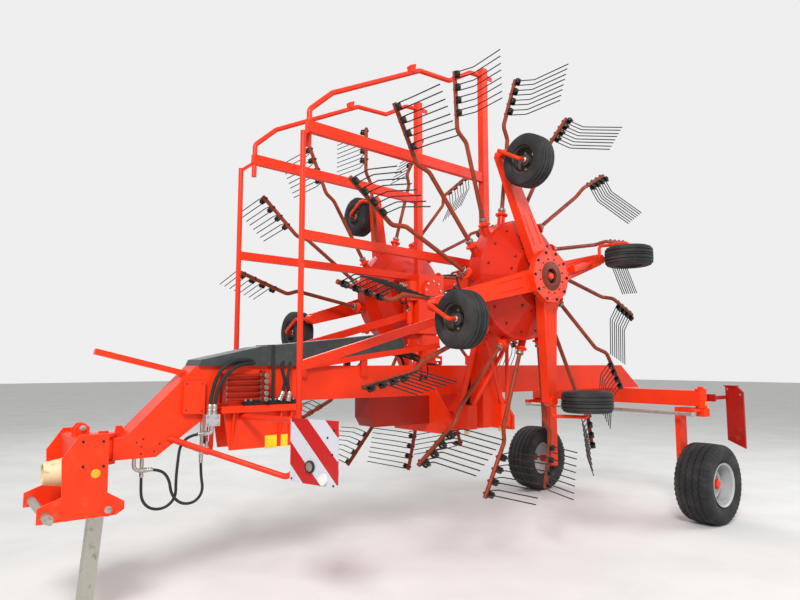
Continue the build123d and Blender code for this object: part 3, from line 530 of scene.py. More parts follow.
def piece(name, mesh, finish, body):
    """A finished piece at the origin, with its material, riding on a body of the machine."""
    mesh.materials.clear()
    mesh.materials.append(finish)
    made = placed(name, mesh)
    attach(made, body)
    return made


def tine_points():
    """The wire of a double tine from one tip through both coils to the other tip."""
    half = []
    for step in range(COIL_STEPS + 1):
        share = step / COIL_STEPS
        turn = math.radians(COIL_TURN * (share - 1))
        out = COIL_START + (LEG_SPREAD - COIL_START) * share
        half.append((out, COIL_LIFT + COIL_RADIUS * math.sin(turn), COIL_RADIUS * math.cos(turn)))
    half += [(LEG_SPREAD, down, ahead) for down, ahead in LEG_BENDS]
    return [(-x, y, z) for x, y, z in reversed(half)] + half


tine_mesh = wire_mesh(tine_points(), WIRE, 1)
tine_spots = [TINE_FIRST + pair * TINE_PITCH for pair in range(TINE_PAIRS)]
for name, side in SIDES:
    places = []
    for index in range(ARM_COUNT):
        for along in tine_spots:
            place = bar_place(name, index) @ at(along, 0, 0)
            places.append(on_side(place, side))
    tines = spread("spring_tines_" + name, tine_mesh, places, black_paint, "rotor_" + name)
    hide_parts("tines_" + name)


# Tine clamps: a black pressed saddle over the middle of each coil, held by
# dark steel bolts in front and behind, with one more bolt at the bar's tip.
def as_mesh(shape):
    """The worked shape as a mesh of its own."""
    mesh = bpy.data.meshes.new("shape")
    shape.to_mesh(mesh)
    shape.free()
    return mesh


def turned_mesh(outline, sides, axis="Y", soft=True):
    """A solid turned from (radius, along) points, its own axis then laid along Y, X or Z."""
    if outline[0][0]:
        outline = outline + outline[:1]
    shape = bmesh.new()
    rings = []
    for radius, along in outline:
        ring = []
        for step in range(sides if radius else 1):
            angle = 2 * math.pi * step / sides
            ring.append(shape.verts.new((radius * math.cos(angle), along, radius * math.sin(angle))))
        rings.append(ring)
    for low, high in zip(rings, rings[1:]):
        for step in range(sides):
            after = (step + 1) % sides
            corners = [ring[number % len(ring)] for ring, number in
                       ((low, step), (low, after), (high, after), (high, step))]
            unique = list(dict.fromkeys(corners))
            if len(unique) > 2:
                shape.faces.new(unique)
    bmesh.ops.recalc_face_normals(shape, faces=shape.faces)
    if axis == "X":
        shape.transform(Matrix.Rotation(-math.pi / 2, 4, "Z"))
    if axis == "Z":
        shape.transform(Matrix.Rotation(math.pi / 2, 4, "X"))
    mesh = as_mesh(shape)
    if soft:
        smooth(mesh, 35)
    return mesh


def bolt_mesh(across_flats, head):
    """Hexagon head on a washer, standing on the plane y = 0 and pointing along +Y."""
    radius = across_flats / 2 / math.cos(math.pi / 6)
    rim = radius * 1.25
    washer = [(0, 0), (rim, 0), (rim, head * 0.25), (0, head * 0.25)]
    hexagon = [(0, head * 0.2), (radius, head * 0.2), (radius, head * 0.85), (radius * 0.82, head),
               (0, head)]
    both = bmesh.new()
    both.from_mesh(turned_mesh(washer, 12))
    both.from_mesh(turned_mesh(hexagon, 6, soft=False))
    return as_mesh(both)


SADDLE_SIZE = (0.013, 0.050, 0.030)
SADDLE_LIFT = 0.052
SADDLE_TOP = 0.076
BAR_HALF = 0.0185
TIP_BOLT = 0.494
small_bolt = bolt_mesh(0.019, 0.013)
saddle = bmesh.new()
bmesh.ops.create_cube(saddle, size=1.0)
bmesh.ops.scale(saddle, vec=SADDLE_SIZE, verts=saddle.verts)
bmesh.ops.bevel(saddle, geom=saddle.edges[:], offset=0.005, segments=2, affect="EDGES", profile=0.6)
saddle_mesh = as_mesh(saddle)
for name, side in SIDES:
    saddles = []
    nuts = []
    for index in range(ARM_COUNT):
        bar = bar_place(name, index)
        for along in tine_spots:
            saddles.append(bar @ at(along, SADDLE_LIFT, 0))
            nuts.append(bar @ at(along, SADDLE_TOP, 0))
            nuts.append(bar @ at(along, -BAR_HALF, 0) @ turned("Z", 180))
        nuts.append(bar @ at(TIP_BOLT, BAR_HALF, 0))
    saddles = [on_side(place, side) for place in saddles]
    nuts = [on_side(place, side) for place in nuts]
    spread("tine_saddles_" + name, saddle_mesh, saddles, black_paint, "rotor_" + name)
    spread("tine_bolts_" + name, small_bolt, nuts, dark_steel, "rotor_" + name)


# Arm bearings: each arm leaves the drum through a bolted flange with a
# bright seal ring, where the paint has rubbed off.
BOSS_OUT = 0.560
collar_mesh = turned_mesh([
    (0.0195, -0.012), (0.052, -0.012), (0.055, -0.006), (0.055, 0.004), (0.046, 0.008), (0.034, 0.010),
    (0.030, 0.026), (0.0195, 0.028)], 16, "X")
arm_seal_mesh = turned_mesh([
    (0.0195, 0.030), (0.033, 0.030), (0.035, 0.034), (0.035, 0.052), (0.031, 0.056),
    (0.0195, 0.056)], 14, "X")
for name, side in SIDES:
    places = []
    for index in range(ARM_COUNT):
        place = round_rotor(arm_angle(name, index), (BOSS_OUT, ARM_Y, ARM_SIDE))
        places.append(on_side(place, side, "Y"))
    spread("arm_collars_" + name, collar_mesh, places, carriage_paint, "rotor_" + name)
    spread("arm_seals_" + name, arm_seal_mesh, places, worn_steel, "rotor_" + name)


# Small gauge wheels of the rotors: ribbed rubber tyres on pressed rims that
# have rusted, with a ring of bolts and a pale grease cap.
GAUGE_SIDE = ((0.118, -0.070), (0.124, -0.088), (0.150, -0.0945), (0.185, -0.0935), (0.207, -0.084))
RIBS = ((-0.066, -0.048), (-0.040, -0.014), (-0.006, 0.006), (0.014, 0.040), (0.048, 0.066))
RIB_TOP = 0.2245
RIB_ROUND = 0.9
RIB_DEEP = 0.008
RIB_LEAN = 0.001
gauge_outline = list(GAUGE_SIDE)
for low, high in RIBS:
    crown = RIB_TOP - RIB_ROUND * ((low + high) / 2) ** 2
    gauge_outline += [(crown - RIB_DEEP, low - RIB_LEAN), (crown, low + RIB_LEAN),
                      (crown, high - RIB_LEAN), (crown - RIB_DEEP, high + RIB_LEAN)]
gauge_outline += [(radius, -along) for radius, along in reversed(GAUGE_SIDE)]
gauge_tyre_mesh = turned_mesh(gauge_outline, 48)
gauge_rim_mesh = turned_mesh([
    (0.017, -0.046), (0.045, -0.046), (0.048, -0.020), (0.090, -0.014), (0.104, -0.030), (0.108, -0.066),
    (0.124, -0.078), (0.124, 0.078), (0.108, 0.066), (0.104, 0.010), (0.090, 0.002), (0.050, 0.006),
    (0.045, 0.046), (0.017, 0.046)], 36)
cap_mesh = turned_mesh([
    (0, 0.046), (0.024, 0.046), (0.024, 0.060), (0.018, 0.066), (0, 0.067)], 16)
GAUGE_WHEELS = (
    # name, and the turn that lays the wheel on its axle
    ("front", "Z", -90),
    ("outer", "Z", -90),
    ("rear", "X", 90),
    ("inner", "X", -90),
)
GAUGE_BOLTS = 5
GAUGE_BOLTS_OUT = 0.072
GAUGE_BOLTS_FACE = 0.003


def moved(mesh, place):
    """A copy of the mesh, set at a place."""
    copy = mesh.copy()
    copy.transform(place)
    if place.determinant() < 0:
        copy.flip_normals()
    return copy


def ring_of(place, count, out, along=0.0, size=1.0):
    """Places evenly round a place's own Y axis, as bolts on a flange have them."""
    ring = []
    for step in range(count):
        bolt = place @ turned("Y", step * 360 / count) @ at(out, along, 0)
        ring.append(bolt @ Matrix.Scale(size, 4))
    return ring


gauge_steel = enamel("gauge_rim_paint", rgb(66, 64, 58), rgb(48, 44, 40), 0.5, rust=0.45)
for name, side in SIDES:
    for key, axis, degrees in GAUGE_WHEELS:
        wheel = "%s_%s" % (key, name)
        body = "rotor_wheel_" + wheel
        low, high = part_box(body)
        place = Matrix.Translation((low + high) / 2) @ turned(axis, degrees)
        tyre = piece("gauge_tyre_" + wheel, moved(gauge_tyre_mesh, place), tyre_rubber, body)
        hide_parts(body)
        piece("gauge_rim_" + wheel, moved(gauge_rim_mesh, place), gauge_steel, body)
        piece("gauge_cap_" + wheel, moved(cap_mesh, place), zinc, body)
        ring = ring_of(place, GAUGE_BOLTS, GAUGE_BOLTS_OUT, GAUGE_BOLTS_FACE)
        spread("gauge_bolts_" + wheel, small_bolt, ring, zinc, body)


# Hub plates of the rotor carriages: ten-sided plates bolted near their corners,
# with a ring of screws round a rusty flange and the bore with the shaft's end.
HUB_FACE = 1.255
HUB_CORNERS = 10
CORNERS_OUT = 0.207
FLANGE_SCREWS = 12
SCREWS_OUT = 0.148
SCREWS_TURN = 15
SCREW_SIZE = 0.6
BORE_END = -0.0395
rust_red = enamel("rust_red", rgb(118, 44, 22), rgb(80, 34, 22), 0.5, rust=0.5)
flange_mesh = turned_mesh([
    (0.064, -0.019), (0.064, 0.002), (0.068, 0.006), (0.098, 0.006), (0.104, 0.002), (0.124, 0.002),
    (0.128, 0.0), (0.128, -0.001), (0.074, -0.001), (0.074, -0.019), (0.074, BORE_END),
    (0.064, BORE_END)], 40)
stub_mesh = turned_mesh([
    (0, BORE_END), (0.030, BORE_END), (0.030, -0.006), (0.026, 0.002), (0.022, 0.005), (0, 0.005)], 24)
bore_seal_mesh = turned_mesh([
    (0.0305, BORE_END), (0.0635, BORE_END), (0.0635, -0.030), (0.050, -0.022), (0.0305, -0.022)], 32)


def outward(point, side):
    """A place at a point, its own Y axis pointing away from the middle of the machine."""
    return Matrix.Translation(point) @ turned("Z", 0 if side > 0 else 180)


for name, side in SIDES:
    body = "head_" + name
    face = outward((ROTOR.x, side * HUB_FACE, ROTOR.z), side)
    spread("hub_bolts_" + name, small_bolt, ring_of(face, HUB_CORNERS, CORNERS_OUT), black_paint, body)
    screws = ring_of(face @ turned("Y", SCREWS_TURN), FLANGE_SCREWS, SCREWS_OUT, size=SCREW_SIZE)
    spread("hub_screws_" + name, small_bolt, screws, rusty, body)
    piece("bore_flange_" + name, moved(flange_mesh, face), rust_red, body)
    piece("shaft_stub_" + name, moved(stub_mesh, face), beam_paint, body)
    piece("bore_seal_" + name, moved(bore_seal_mesh, face), black_paint, body)


# Road wheels: wide implement tyres with ribs between zigzag grooves and notched
# shoulders, on silver rims with a welded dish, five-bolt orange hub and cap.
WAVES = 44
WAVE_STEPS = 4
GROOVES = (-0.104, -0.036, 0.036, 0.104)
GROOVE_HALF = 0.0065
GROOVE_DEEP = 0.011
GROOVE_FLOOR = 0.6
SWAY = 0.008
NOTCH = 0.010
TREAD_TOP = 0.4245
TREAD_ROUND = 0.25
BEAD = (0.214, 0.120)
SIDEWALL = (
    # radius, along the axle from the middle, share of the shoulder notch
    (0.228, 0.128, 0.0), (0.238, 0.160, 0.0), (0.275, 0.184, 0.0), (0.325, 0.190, 0.0),
    (0.362, 0.186, 0.0), (0.376, 0.183, 0.4), (0.398, 0.174, 1.0), (0.412, 0.160, 1.0),
    (0.4185, 0.146, 0.8), (0.4205, 0.126, 0.0),
)


def road_tyre_mesh():
    """A tyre ring whose tread grooves sway from side to side round its edge."""
    section = [(radius, -along, 0.0, notch) for radius, along, notch in SIDEWALL]
    for middle in GROOVES:
        for offset, depth in ((-GROOVE_HALF, 0.0), (-GROOVE_HALF * GROOVE_FLOOR, GROOVE_DEEP),
                              (GROOVE_HALF * GROOVE_FLOOR, GROOVE_DEEP), (GROOVE_HALF, 0.0)):
            along = middle + offset
            section.append((TREAD_TOP - TREAD_ROUND * along ** 2 - depth, along, SWAY, 0.0))
    section += [(radius, along, 0.0, notch) for radius, along, notch in reversed(SIDEWALL)]
    section += [(BEAD[0], BEAD[1], 0.0, 0.0), (BEAD[0], -BEAD[1], 0.0, 0.0)]
    shape = bmesh.new()
    count = WAVES * WAVE_STEPS
    rings = []
    for step in range(count):
        angle = 2 * math.pi * step / count
        phase = step % WAVE_STEPS
        sway = (-1.0, 0.0, 1.0, 0.0)[phase]
        ring = []
        for radius, along, amount, notch in section:
            notched = (0, 1) if along > 0 else (2, 3)
            out = radius - (NOTCH * notch if phase in notched else 0.0)
            place = (out * math.cos(angle), along + sway * amount, out * math.sin(angle))
            ring.append(shape.verts.new(place))
        rings.append(ring)
    for step, ring in enumerate(rings):
        after = rings[(step + 1) % count]
        for index in range(len(ring)):
            further = (index + 1) % len(ring)
            shape.faces.new((ring[index], ring[further], after[further], after[index]))
    bmesh.ops.recalc_face_normals(shape, faces=shape.faces)
    mesh = as_mesh(shape)
    smooth(mesh, 28)
    return mesh


carcass_mesh = road_tyre_mesh()
road_rim_mesh = turned_mesh([
    (0.050, 0.010), (0.120, 0.014), (0.150, 0.020), (0.176, -0.030), (0.190, -0.060), (0.205, -0.060),
    (0.212, 0.118), (0.229, 0.132), (0.232, 0.126), (0.218, 0.108), (0.214, 0.0), (0.214, -0.108),
    (0.232, -0.126), (0.229, -0.132), (0.208, -0.118), (0.198, -0.074), (0.186, -0.070), (0.050, -0.02)], 60)
road_hub_mesh = turned_mesh([
    (0, 0.062), (0.034, 0.062), (0.042, 0.054), (0.044, 0.020), (0.088, 0.016), (0.092, 0.006), (0.092, 0.0),
    (0.0, 0.0)], 32)
RIM_OUT = 0.045
HUB_OUT = 0.055
WHEEL_NUTS = 5
NUTS_RING = 0.070
NUTS_FACE = 0.071
large_bolt = bolt_mesh(0.030, 0.020)
for name, side in SIDES:
    low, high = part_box("tyre_" + name)
    place = outward((low + high) / 2, side)
    rim_place = place @ at(0, RIM_OUT, 0)
    hub_place = place @ at(0, HUB_OUT, 0)
    body = "road_wheel_" + name
    tyre = piece("tyre_carcass_" + name, moved(carcass_mesh, place), tyre_rubber, body)
    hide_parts("tyre_" + name)
    rim = piece("road_rim_" + name, moved(road_rim_mesh, rim_place), rim_silver, body)
    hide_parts("wheel_rim_" + name)
    piece("road_hub_" + name, moved(road_hub_mesh, hub_place), beam_paint, body)
    nuts = ring_of(place, WHEEL_NUTS, NUTS_RING, NUTS_FACE)
    spread("wheel_nuts_" + name, large_bolt, nuts, zinc, body)


# Free hoses under the nose: two rubber pressure hoses hang in loops, from a
# bent and a straight metal end in front to an end under the neck and to the
# cast block. Each is crimped in a zinc ferrule at both ends.
def spot(x, y, z):
    """A point on the machine: forward of the rear axle, to the left, and up."""
    return Vector((AXLE_X + x, y, z))


def pointing(place, way):
    """A place whose own Y axis points along a direction."""
    turn = Vector((0, 1, 0)).rotation_difference(way)
    return Matrix.Translation(place) @ turn.to_matrix().to_4x4()


def hose_ends(places):
    """The places of a hose's two ferrules, each pointing in along the hose."""
    first = pointing(places[0], places[1] - places[0])
    last = pointing(places[-1], places[-2] - places[-1])
    return [first, last]


HOSE_R = 0.010
LOOPS = (
    # name, points of its route from the front end to the rear end, real length
    ("outer", ((5.625, 0.100, 0.985), (5.530, 0.100, 0.985), (5.463, 0.114, 0.918), (5.452, 0.136, 0.803),
     (5.386, 0.152, 0.733), (5.288, 0.150, 0.731), (5.222, 0.136, 0.802), (5.235, 0.100, 0.925),
     (5.235, 0.100, 1.050)), 0.82),
    ("inner", ((5.640, 0.070, 0.985), (5.640, 0.070, 0.885), (5.634, 0.073, 0.775), (5.570, 0.078, 0.708),
     (5.475, 0.090, 0.706), (5.408, 0.105, 0.774), (5.418, 0.122, 0.900), (5.414, 0.137, 1.030),
     (5.402, 0.140, 1.148), (5.335, 0.175, 1.215), (5.240, 0.175, 1.215)), 1.04),
)
ferrule_mesh = turned_mesh([
    (0.0105, -0.004), (0.0165, -0.004), (0.0165, 0.012), (0.0128, 0.014), (0.0145, 0.018), (0.0145, 0.024),
    (0.0132, 0.026), (0.0145, 0.028), (0.0145, 0.046), (0.0120, 0.052), (0.0102, 0.053)], 14)
for key, route, real_length in LOOPS:
    places = [spot(*point) for point in route]
    line = wire_curve(places, HOSE_R, 4, "NURBS", 10)
    line.materials.append(hose_rubber)
    loop = placed("hose_loop_" + key, line)
    ferrules = spread("loop_ferrules_" + key, ferrule_mesh, hose_ends(places), zinc, "chassis")
    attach(loop, "chassis")
    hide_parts("hose_" + key)


# Fixed lines on the left of the neck: rubber hoses clamped at both ends, from
# under the cover to the cast block, to the rail and along it.
def fixed_hose(name, radius, body, route):
    """A hose held by the machine all the way, on a smooth line through its route."""
    return piece(name, wire_mesh(route, radius, 3, "NURBS"), hose_rubber, body)


NECK_HOSES = (
    # name, radius, whether its lower end has a ferrule, route from under the cover to that end
    ("block_front", 0.0140, True,
     ((4.860, 0.135, 1.742), (4.930, 0.160, 1.745), (5.040, 0.176, 1.738), (5.130, 0.182, 1.680),
      (5.178, 0.186, 1.590), (5.204, 0.190, 1.480), (5.214, 0.194, 1.420), (5.216, 0.195, 1.352))),
    ("block_rear", 0.0140, True,
     ((4.830, 0.130, 1.722), (4.900, 0.158, 1.722), (5.000, 0.178, 1.706), (5.090, 0.200, 1.650),
      (5.150, 0.206, 1.570), (5.176, 0.204, 1.470), (5.182, 0.198, 1.410), (5.182, 0.195, 1.352))),
    ("rail_front", 0.0130, True,
     ((4.600, 0.130, 1.742), (4.618, 0.152, 1.730), (4.634, 0.164, 1.680), (4.612, 0.168, 1.620),
      (4.606, 0.172, 1.560), (4.630, 0.174, 1.480), (4.652, 0.174, 1.436))),
    ("rail_rear", 0.0130, True,
     ((4.545, 0.130, 1.738), (4.548, 0.154, 1.720), (4.585, 0.180, 1.640), (4.592, 0.186, 1.560),
      (4.572, 0.182, 1.480), (4.578, 0.176, 1.430))),
    ("rail_upper", 0.0090, False,
     ((4.905, 0.140, 1.432), (4.850, 0.150, 1.434), (4.770, 0.158, 1.428), (4.680, 0.156, 1.430),
      (4.600, 0.160, 1.424), (4.470, 0.152, 1.428))),
    ("rail_lower", 0.0090, False,
     ((4.940, 0.142, 1.412), (4.860, 0.162, 1.412), (4.760, 0.168, 1.411), (4.640, 0.166, 1.412),
      (4.540, 0.170, 1.411), (4.450, 0.150, 1.414))),
)
NECK_FERRULE = Matrix.Scale(1.35, 4)
neck_ferrules = []
for key, radius, crimped, route in NECK_HOSES:
    places = [spot(*point) for point in route]
    fixed_hose("neck_hose_" + key, radius, "chassis", places)
    if crimped:
        neck_ferrules.append(hose_ends(places)[1] @ NECK_FERRULE)
spread("neck_ferrules", ferrule_mesh, neck_ferrules, zinc, "chassis")


# Rail fittings: cast valve blocks on the angle rail under the pipes, each held
# by two bolts, with caps and nuts on the pipes, and the screws of the cast block.
def plate_mesh(outline, low, high, axis="Y", edge=0.0):
    """A flat plate cut to an outline in the two other axes, with an optional chamfer."""
    def place(a, b, along):
        return {"X": (along, a, b), "Y": (a, along, b), "Z": (a, b, along)}[axis]
    shape = bmesh.new()
    rings = [[shape.verts.new(place(a, b, level)) for a, b in outline] for level in (low, high)]
    for ring in rings:
        shape.faces.new(ring)
    count = len(outline)
    for step in range(count):
        after = (step + 1) % count
        shape.faces.new((rings[0][step], rings[0][after], rings[1][after], rings[1][step]))
    bmesh.ops.recalc_face_normals(shape, faces=shape.faces)
    if edge:
        bmesh.ops.bevel(shape, geom=shape.edges[:], offset=edge, segments=1, affect="EDGES")
    return as_mesh(shape)


def box_outline(a_low, a_high, b_low, b_high):
    return [(a_low, b_low), (a_high, b_low), (a_high, b_high), (a_low, b_high)]


RAIL_TOP = 1.400
VALVE_Y = 0.154
VALVE_HIGH = 0.034
valve_outline = box_outline(-0.036, 0.036, 0.0, VALVE_HIGH)
valve_mesh = plate_mesh(valve_outline, -0.022, 0.022, edge=0.004)
valve_places = [at(*spot(x, VALVE_Y, RAIL_TOP)) for x in (4.905, 4.700, 4.500)]
spread("rail_valves", valve_mesh, valve_places, black_paint, "chassis")
valve_bolts = []
for place in valve_places:
    for offset in (-0.022, 0.022):
        valve_bolts.append(place @ at(offset, 0.0, VALVE_HIGH) @ turned("X", 90))
spread("rail_valve_bolts", small_bolt, valve_bolts, zinc, "chassis")
PIPE_LEVELS = (1.625, 1.580, 1.535, 1.490, 1.447)
PIPE_Y = 0.150
TAP_X = 4.785
TAP_FACE = 0.200
tap_mesh = turned_mesh([
    (0, -0.002), (0.016, -0.002), (0.016, 0.008), (0.012, 0.010), (0.019, 0.013), (0.0195, 0.022),
    (0.016, 0.026), (0.006, 0.027), (0, 0.026)], 18)
taps = [at(*spot(TAP_X, TAP_FACE, level)) for level in PIPE_LEVELS]
spread("tap_caps", tap_mesh, taps, worn_steel, "chassis")
nut_mesh = turned_mesh([
    (0.0135, -0.004), (0.020, -0.004), (0.020, 0.004), (0.0135, 0.004)], 6, soft=False)
pipe_nuts = []
for level in PIPE_LEVELS:
    for x in (5.080, 4.806):
        pipe_nuts.append(pointing(spot(x, PIPE_Y, level), Vector((1, 0, 0))))
spread("pipe_nuts", nut_mesh, pipe_nuts, worn_steel, "chassis")
BLOCK_FACE = 0.230
BLOCK_SCREW = Matrix.Scale(0.7, 4)
block_screws = []
for x in (5.165, 5.240):
    for z in (1.284, 1.334):
        block_screws.append(at(*spot(x, BLOCK_FACE, z)) @ BLOCK_SCREW)
spread("block_screws", small_bolt, block_screws, zinc, "chassis")


# Strap over the cover: flat black webbing that lies on the cover's top and
# hangs down both sides of the beam to the rail.
STRAP_REAR = 4.686
STRAP_FRONT = 4.714
STRAP_SIDE = 0.1515
STRAP_TOP = 1.8625
STRAP_END = 1.404
STRAP_T = 0.003
outer = [(STRAP_SIDE + STRAP_T, STRAP_END), (STRAP_SIDE + STRAP_T, STRAP_TOP - 0.004),
         (STRAP_SIDE - 0.004, STRAP_TOP + STRAP_T)]
inner = [(STRAP_SIDE - 0.006, STRAP_TOP), (STRAP_SIDE, STRAP_TOP - 0.007), (STRAP_SIDE, STRAP_END)]
strap_outline = outer + [(-y, z) for y, z in reversed(outer)] + [(-y, z) for y, z in reversed(inner)] + inner
strap_mesh = plate_mesh(strap_outline, AXLE_X + STRAP_REAR, AXLE_X + STRAP_FRONT, "X")
webbing = Finish("strap_webbing", Roughness=0.8)
weave = webbing.node("ShaderNodeTexWave", {"wave_type": "BANDS", "bands_direction": "Z"},
                     {"Vector": webbing.place, "Scale": 160.0, "Distortion": 1.5})
webbing.feed("Base Color", webbing.blend(weave * 0.6, rgb(22, 22, 24), rgb(48, 46, 46)))
webbing.bump(weave, 0.3, 0.0008)
piece("cover_strap", strap_mesh, webbing.material, "chassis")


# Blank plates of yellow film on the skirt, one each side of its rib, where the
# maker's notices would be.
def between(side, near, far):
    """The lower and the higher of two distances from the middle, on one side of the machine."""
    return sorted((side * near, side * far))


yellow_film = plastic("yellow_film", rgb(240, 206, 22), rgb(226, 188, 26), 0.38)
NOTICE_FACES = (0.1202, 0.1212)
NOTICES = (
    # name, rear and front edge, lower and upper edge
    ("rear", 4.548, 4.606, 1.066, 1.160),
    ("front", 4.642, 4.742, 1.062, 1.160),
)
for name, side in SIDES:
    for key, rear, front, low, high in NOTICES:
        outline = box_outline(AXLE_X + rear, AXLE_X + front, low, high)
        plate = plate_mesh(outline, *between(side, *NOTICE_FACES))
        piece("blank_plate_%s_%s" % (key, name), plate, yellow_film, "chassis")


# Marker panels: on each a round lamp in a black rim and a white disc, with
# rivets near the corners of the sheet.
PANEL_X = 4.800
PANEL_OUT = 0.980
PANEL_UP = 1.135
PANEL_TURN = 17
PANEL_HALF_T = 0.006
lens_white = plastic("lens_white", rgb(226, 226, 222), rgb(206, 206, 200), 0.2)
lens_red = plastic("lens_red", rgb(168, 10, 10), rgb(132, 8, 10), 0.18)
lens_grey = plastic("lens_grey", rgb(136, 126, 118), rgb(112, 104, 98), 0.2)
lens_amber = plastic("lens_amber", rgb(240, 172, 30), rgb(222, 140, 22), 0.2)
reflector_rim = turned_mesh([
    (0.028, 0.0), (0.036, 0.0), (0.036, 0.012), (0.033, 0.016), (0.029, 0.016), (0.028, 0.013)], 28, "X")
reflector_lens = turned_mesh([
    (0, 0.0), (0.0285, 0.0), (0.0285, 0.012), (0.020, 0.0145), (0, 0.0155)], 28, "X")
rivet_mesh = turned_mesh([
    (0, -0.001), (0.008, -0.001), (0.0075, 0.002), (0.004, 0.004), (0, 0.0045)], 12, "X")
REFLECTORS = (
    # outward and up from the panel's middle, size, lens, rim
    ("lamp", -0.023, -0.097, 1.12, lens_grey, black_paint),
    ("disc", 0.095, -0.168, 1.05, lens_white, lens_white),
)
RIVETS = (
    # outward and up from the panel's middle
    (-0.195, 0.195), (-0.195, -0.190), (0.180, 0.150), (0.180, -0.200), (0.126, 0.100), (0.169, -0.005),
)
for name, side in SIDES:
    middle = at(*spot(PANEL_X, side * PANEL_OUT, PANEL_UP))
    panel = middle @ turned("Z", side * PANEL_TURN) @ at(PANEL_HALF_T, 0, 0)
    for key, out, up, size, lens, rim in REFLECTORS:
        places = [panel @ at(0, side * out, up) @ Matrix.Scale(size, 4)]
        spread("%s_rim_%s" % (key, name), reflector_rim, places, rim, "chassis")
        spread("%s_lens_%s" % (key, name), reflector_lens, places, lens, "chassis")
    places = [panel @ at(0, side * out, up) for out, up in RIVETS]
    spread("panel_rivets_" + name, rivet_mesh, places, black_paint, "chassis")


# Rear lighting boards: each carries two round red lamps in black housings,
# facing back, a pale silver strip along its top edge that is a painted
# reflection of the sky on the board's top, and two bolts. Each steering
# sleeve of the axle has a small amber plate.
LAMP_FACE = -0.453
LAMP_OUT = 1.335
LAMP_LEVELS = (1.330, 1.210)
# Where the painted reflection of the sky on each board's top lies: a pale silver strip.
BOARD_SHEEN_TOP = 1.475
BOARD_SHEEN_EDGES = (AXLE_X - 0.451, AXLE_X - 0.389)
BOARD_SHEEN_SIDES = (1.231, 1.369)
MARKER_EDGES = (AXLE_X - 0.014, AXLE_X + 0.026, 1.258, 1.300)
MARKER_SIDES = (1.214, 1.222)
BOARD_BOLTS = ((1.262, 1.430), (1.400, 1.370))
BOARD_BOLT_FACE = -0.405
BOARD_BOLT = Matrix.Scale(0.8, 4)
housing_mesh = turned_mesh([
    (0.048, 0.040), (0.0485, -0.001), (0.053, -0.003), (0.053, 0.016), (0.0515, 0.034)], 32, "X")
lamp_lens_mesh = turned_mesh([
    (0, -0.010), (0.024, -0.009), (0.040, -0.006), (0.0478, 0.0), (0.0478, 0.002), (0, 0.002)], 32, "X")
for name, side in SIDES:
    places = [at(*spot(LAMP_FACE, side * LAMP_OUT, level)) for level in LAMP_LEVELS]
    spread("lamp_housings_" + name, housing_mesh, places, black_paint, "chassis")
    spread("lamp_lenses_" + name, lamp_lens_mesh, places, lens_red, "chassis")
    # The pale silver strip on the board's top is a painted reflection of the sky.
    sheen_outline = box_outline(*BOARD_SHEEN_EDGES, *between(side, *BOARD_SHEEN_SIDES))
    sheen_strip = plate_mesh(sheen_outline, BOARD_SHEEN_TOP - 0.001, BOARD_SHEEN_TOP + 0.003, "Z")
    piece("board_trim_" + name, sheen_strip, rim_silver, "chassis")
    places = []
    for out, up in BOARD_BOLTS:
        place = at(*spot(BOARD_BOLT_FACE, side * out, up)) @ turned("Z", -90)
        places.append(place @ BOARD_BOLT)
    spread("board_bolts_" + name, small_bolt, places, zinc, "chassis")
    marker_outline = box_outline(*MARKER_EDGES)
    marker = plate_mesh(marker_outline, *between(side, *MARKER_SIDES), edge=0.002)
    piece("axle_marker_" + name, marker, lens_amber, "chassis")


# Drawbar head: bolts through its side plates, a round amber reflector, the
# collars of the stand's pin, and two lugs with a pin on its top deck.
HEAD_SIDE = 0.300
HEAD_BOLTS = ((6.060, 1.228), (5.942, 1.223), (6.055, 1.074), (5.936, 1.068))
HEAD_BOLT = Matrix.Scale(0.62, 4)
AMBER_X = 5.980
AMBER_UP = 1.025
STAND_PIN_X = 5.900
STAND_PIN_UP = 0.795
pin_collar = turned_mesh([
    (0.0225, 0.0), (0.043, 0.0), (0.043, 0.006), (0.036, 0.009), (0.034, 0.016), (0.0225, 0.016)], 28)
amber_mesh = turned_mesh([
    (0, 0.0), (0.028, 0.0), (0.028, 0.004), (0.024, 0.007), (0, 0.008)], 28)
for name, side in SIDES:
    bolts = [outward(spot(x, side * HEAD_SIDE, z), side) @ HEAD_BOLT for x, z in HEAD_BOLTS]
    spread("head_bolts_" + name, small_bolt, bolts, black_paint, "drawbar")
    amber = moved(amber_mesh, outward(spot(AMBER_X, side * HEAD_SIDE, AMBER_UP), side))
    piece("amber_reflector_" + name, amber, lens_amber, "drawbar")
    collar = moved(pin_collar, outward(spot(STAND_PIN_X, side * HEAD_SIDE, STAND_PIN_UP), side))
    piece("stand_collar_" + name, collar, beam_paint, "drawbar")
DECK_TOP = 1.245
LUG_X = 6.010
LUG_Y = 0.040
LUG_HALF_T = 0.006
DECK_PIN = spot(6.020, 0.0, DECK_TOP + 0.045)
lug_outline = [(0.060, 0.0), (0.060, 0.045), (0.030, 0.078), (-0.005, 0.078), (-0.035, 0.045), (-0.035, 0.0)]
lug_outline = [(AXLE_X + LUG_X + x, DECK_TOP - 0.001 + z) for x, z in lug_outline]
lug_plate = plate_mesh(lug_outline, -LUG_HALF_T, LUG_HALF_T, edge=0.0015)
lug_places = [at(0, y, 0) for y in (-LUG_Y, LUG_Y)]
spread("deck_lugs", lug_plate, lug_places, beam_paint, "drawbar")
pin_mesh = turned_mesh([
    (0, -0.064), (0.013, -0.064), (0.013, 0.052), (0.020, 0.053), (0.020, 0.060), (0.013, 0.062),
    (0, 0.063)], 18)
deck_pin = moved(pin_mesh, Matrix.Translation(DECK_PIN))
piece("deck_pin", deck_pin, zinc, "drawbar")


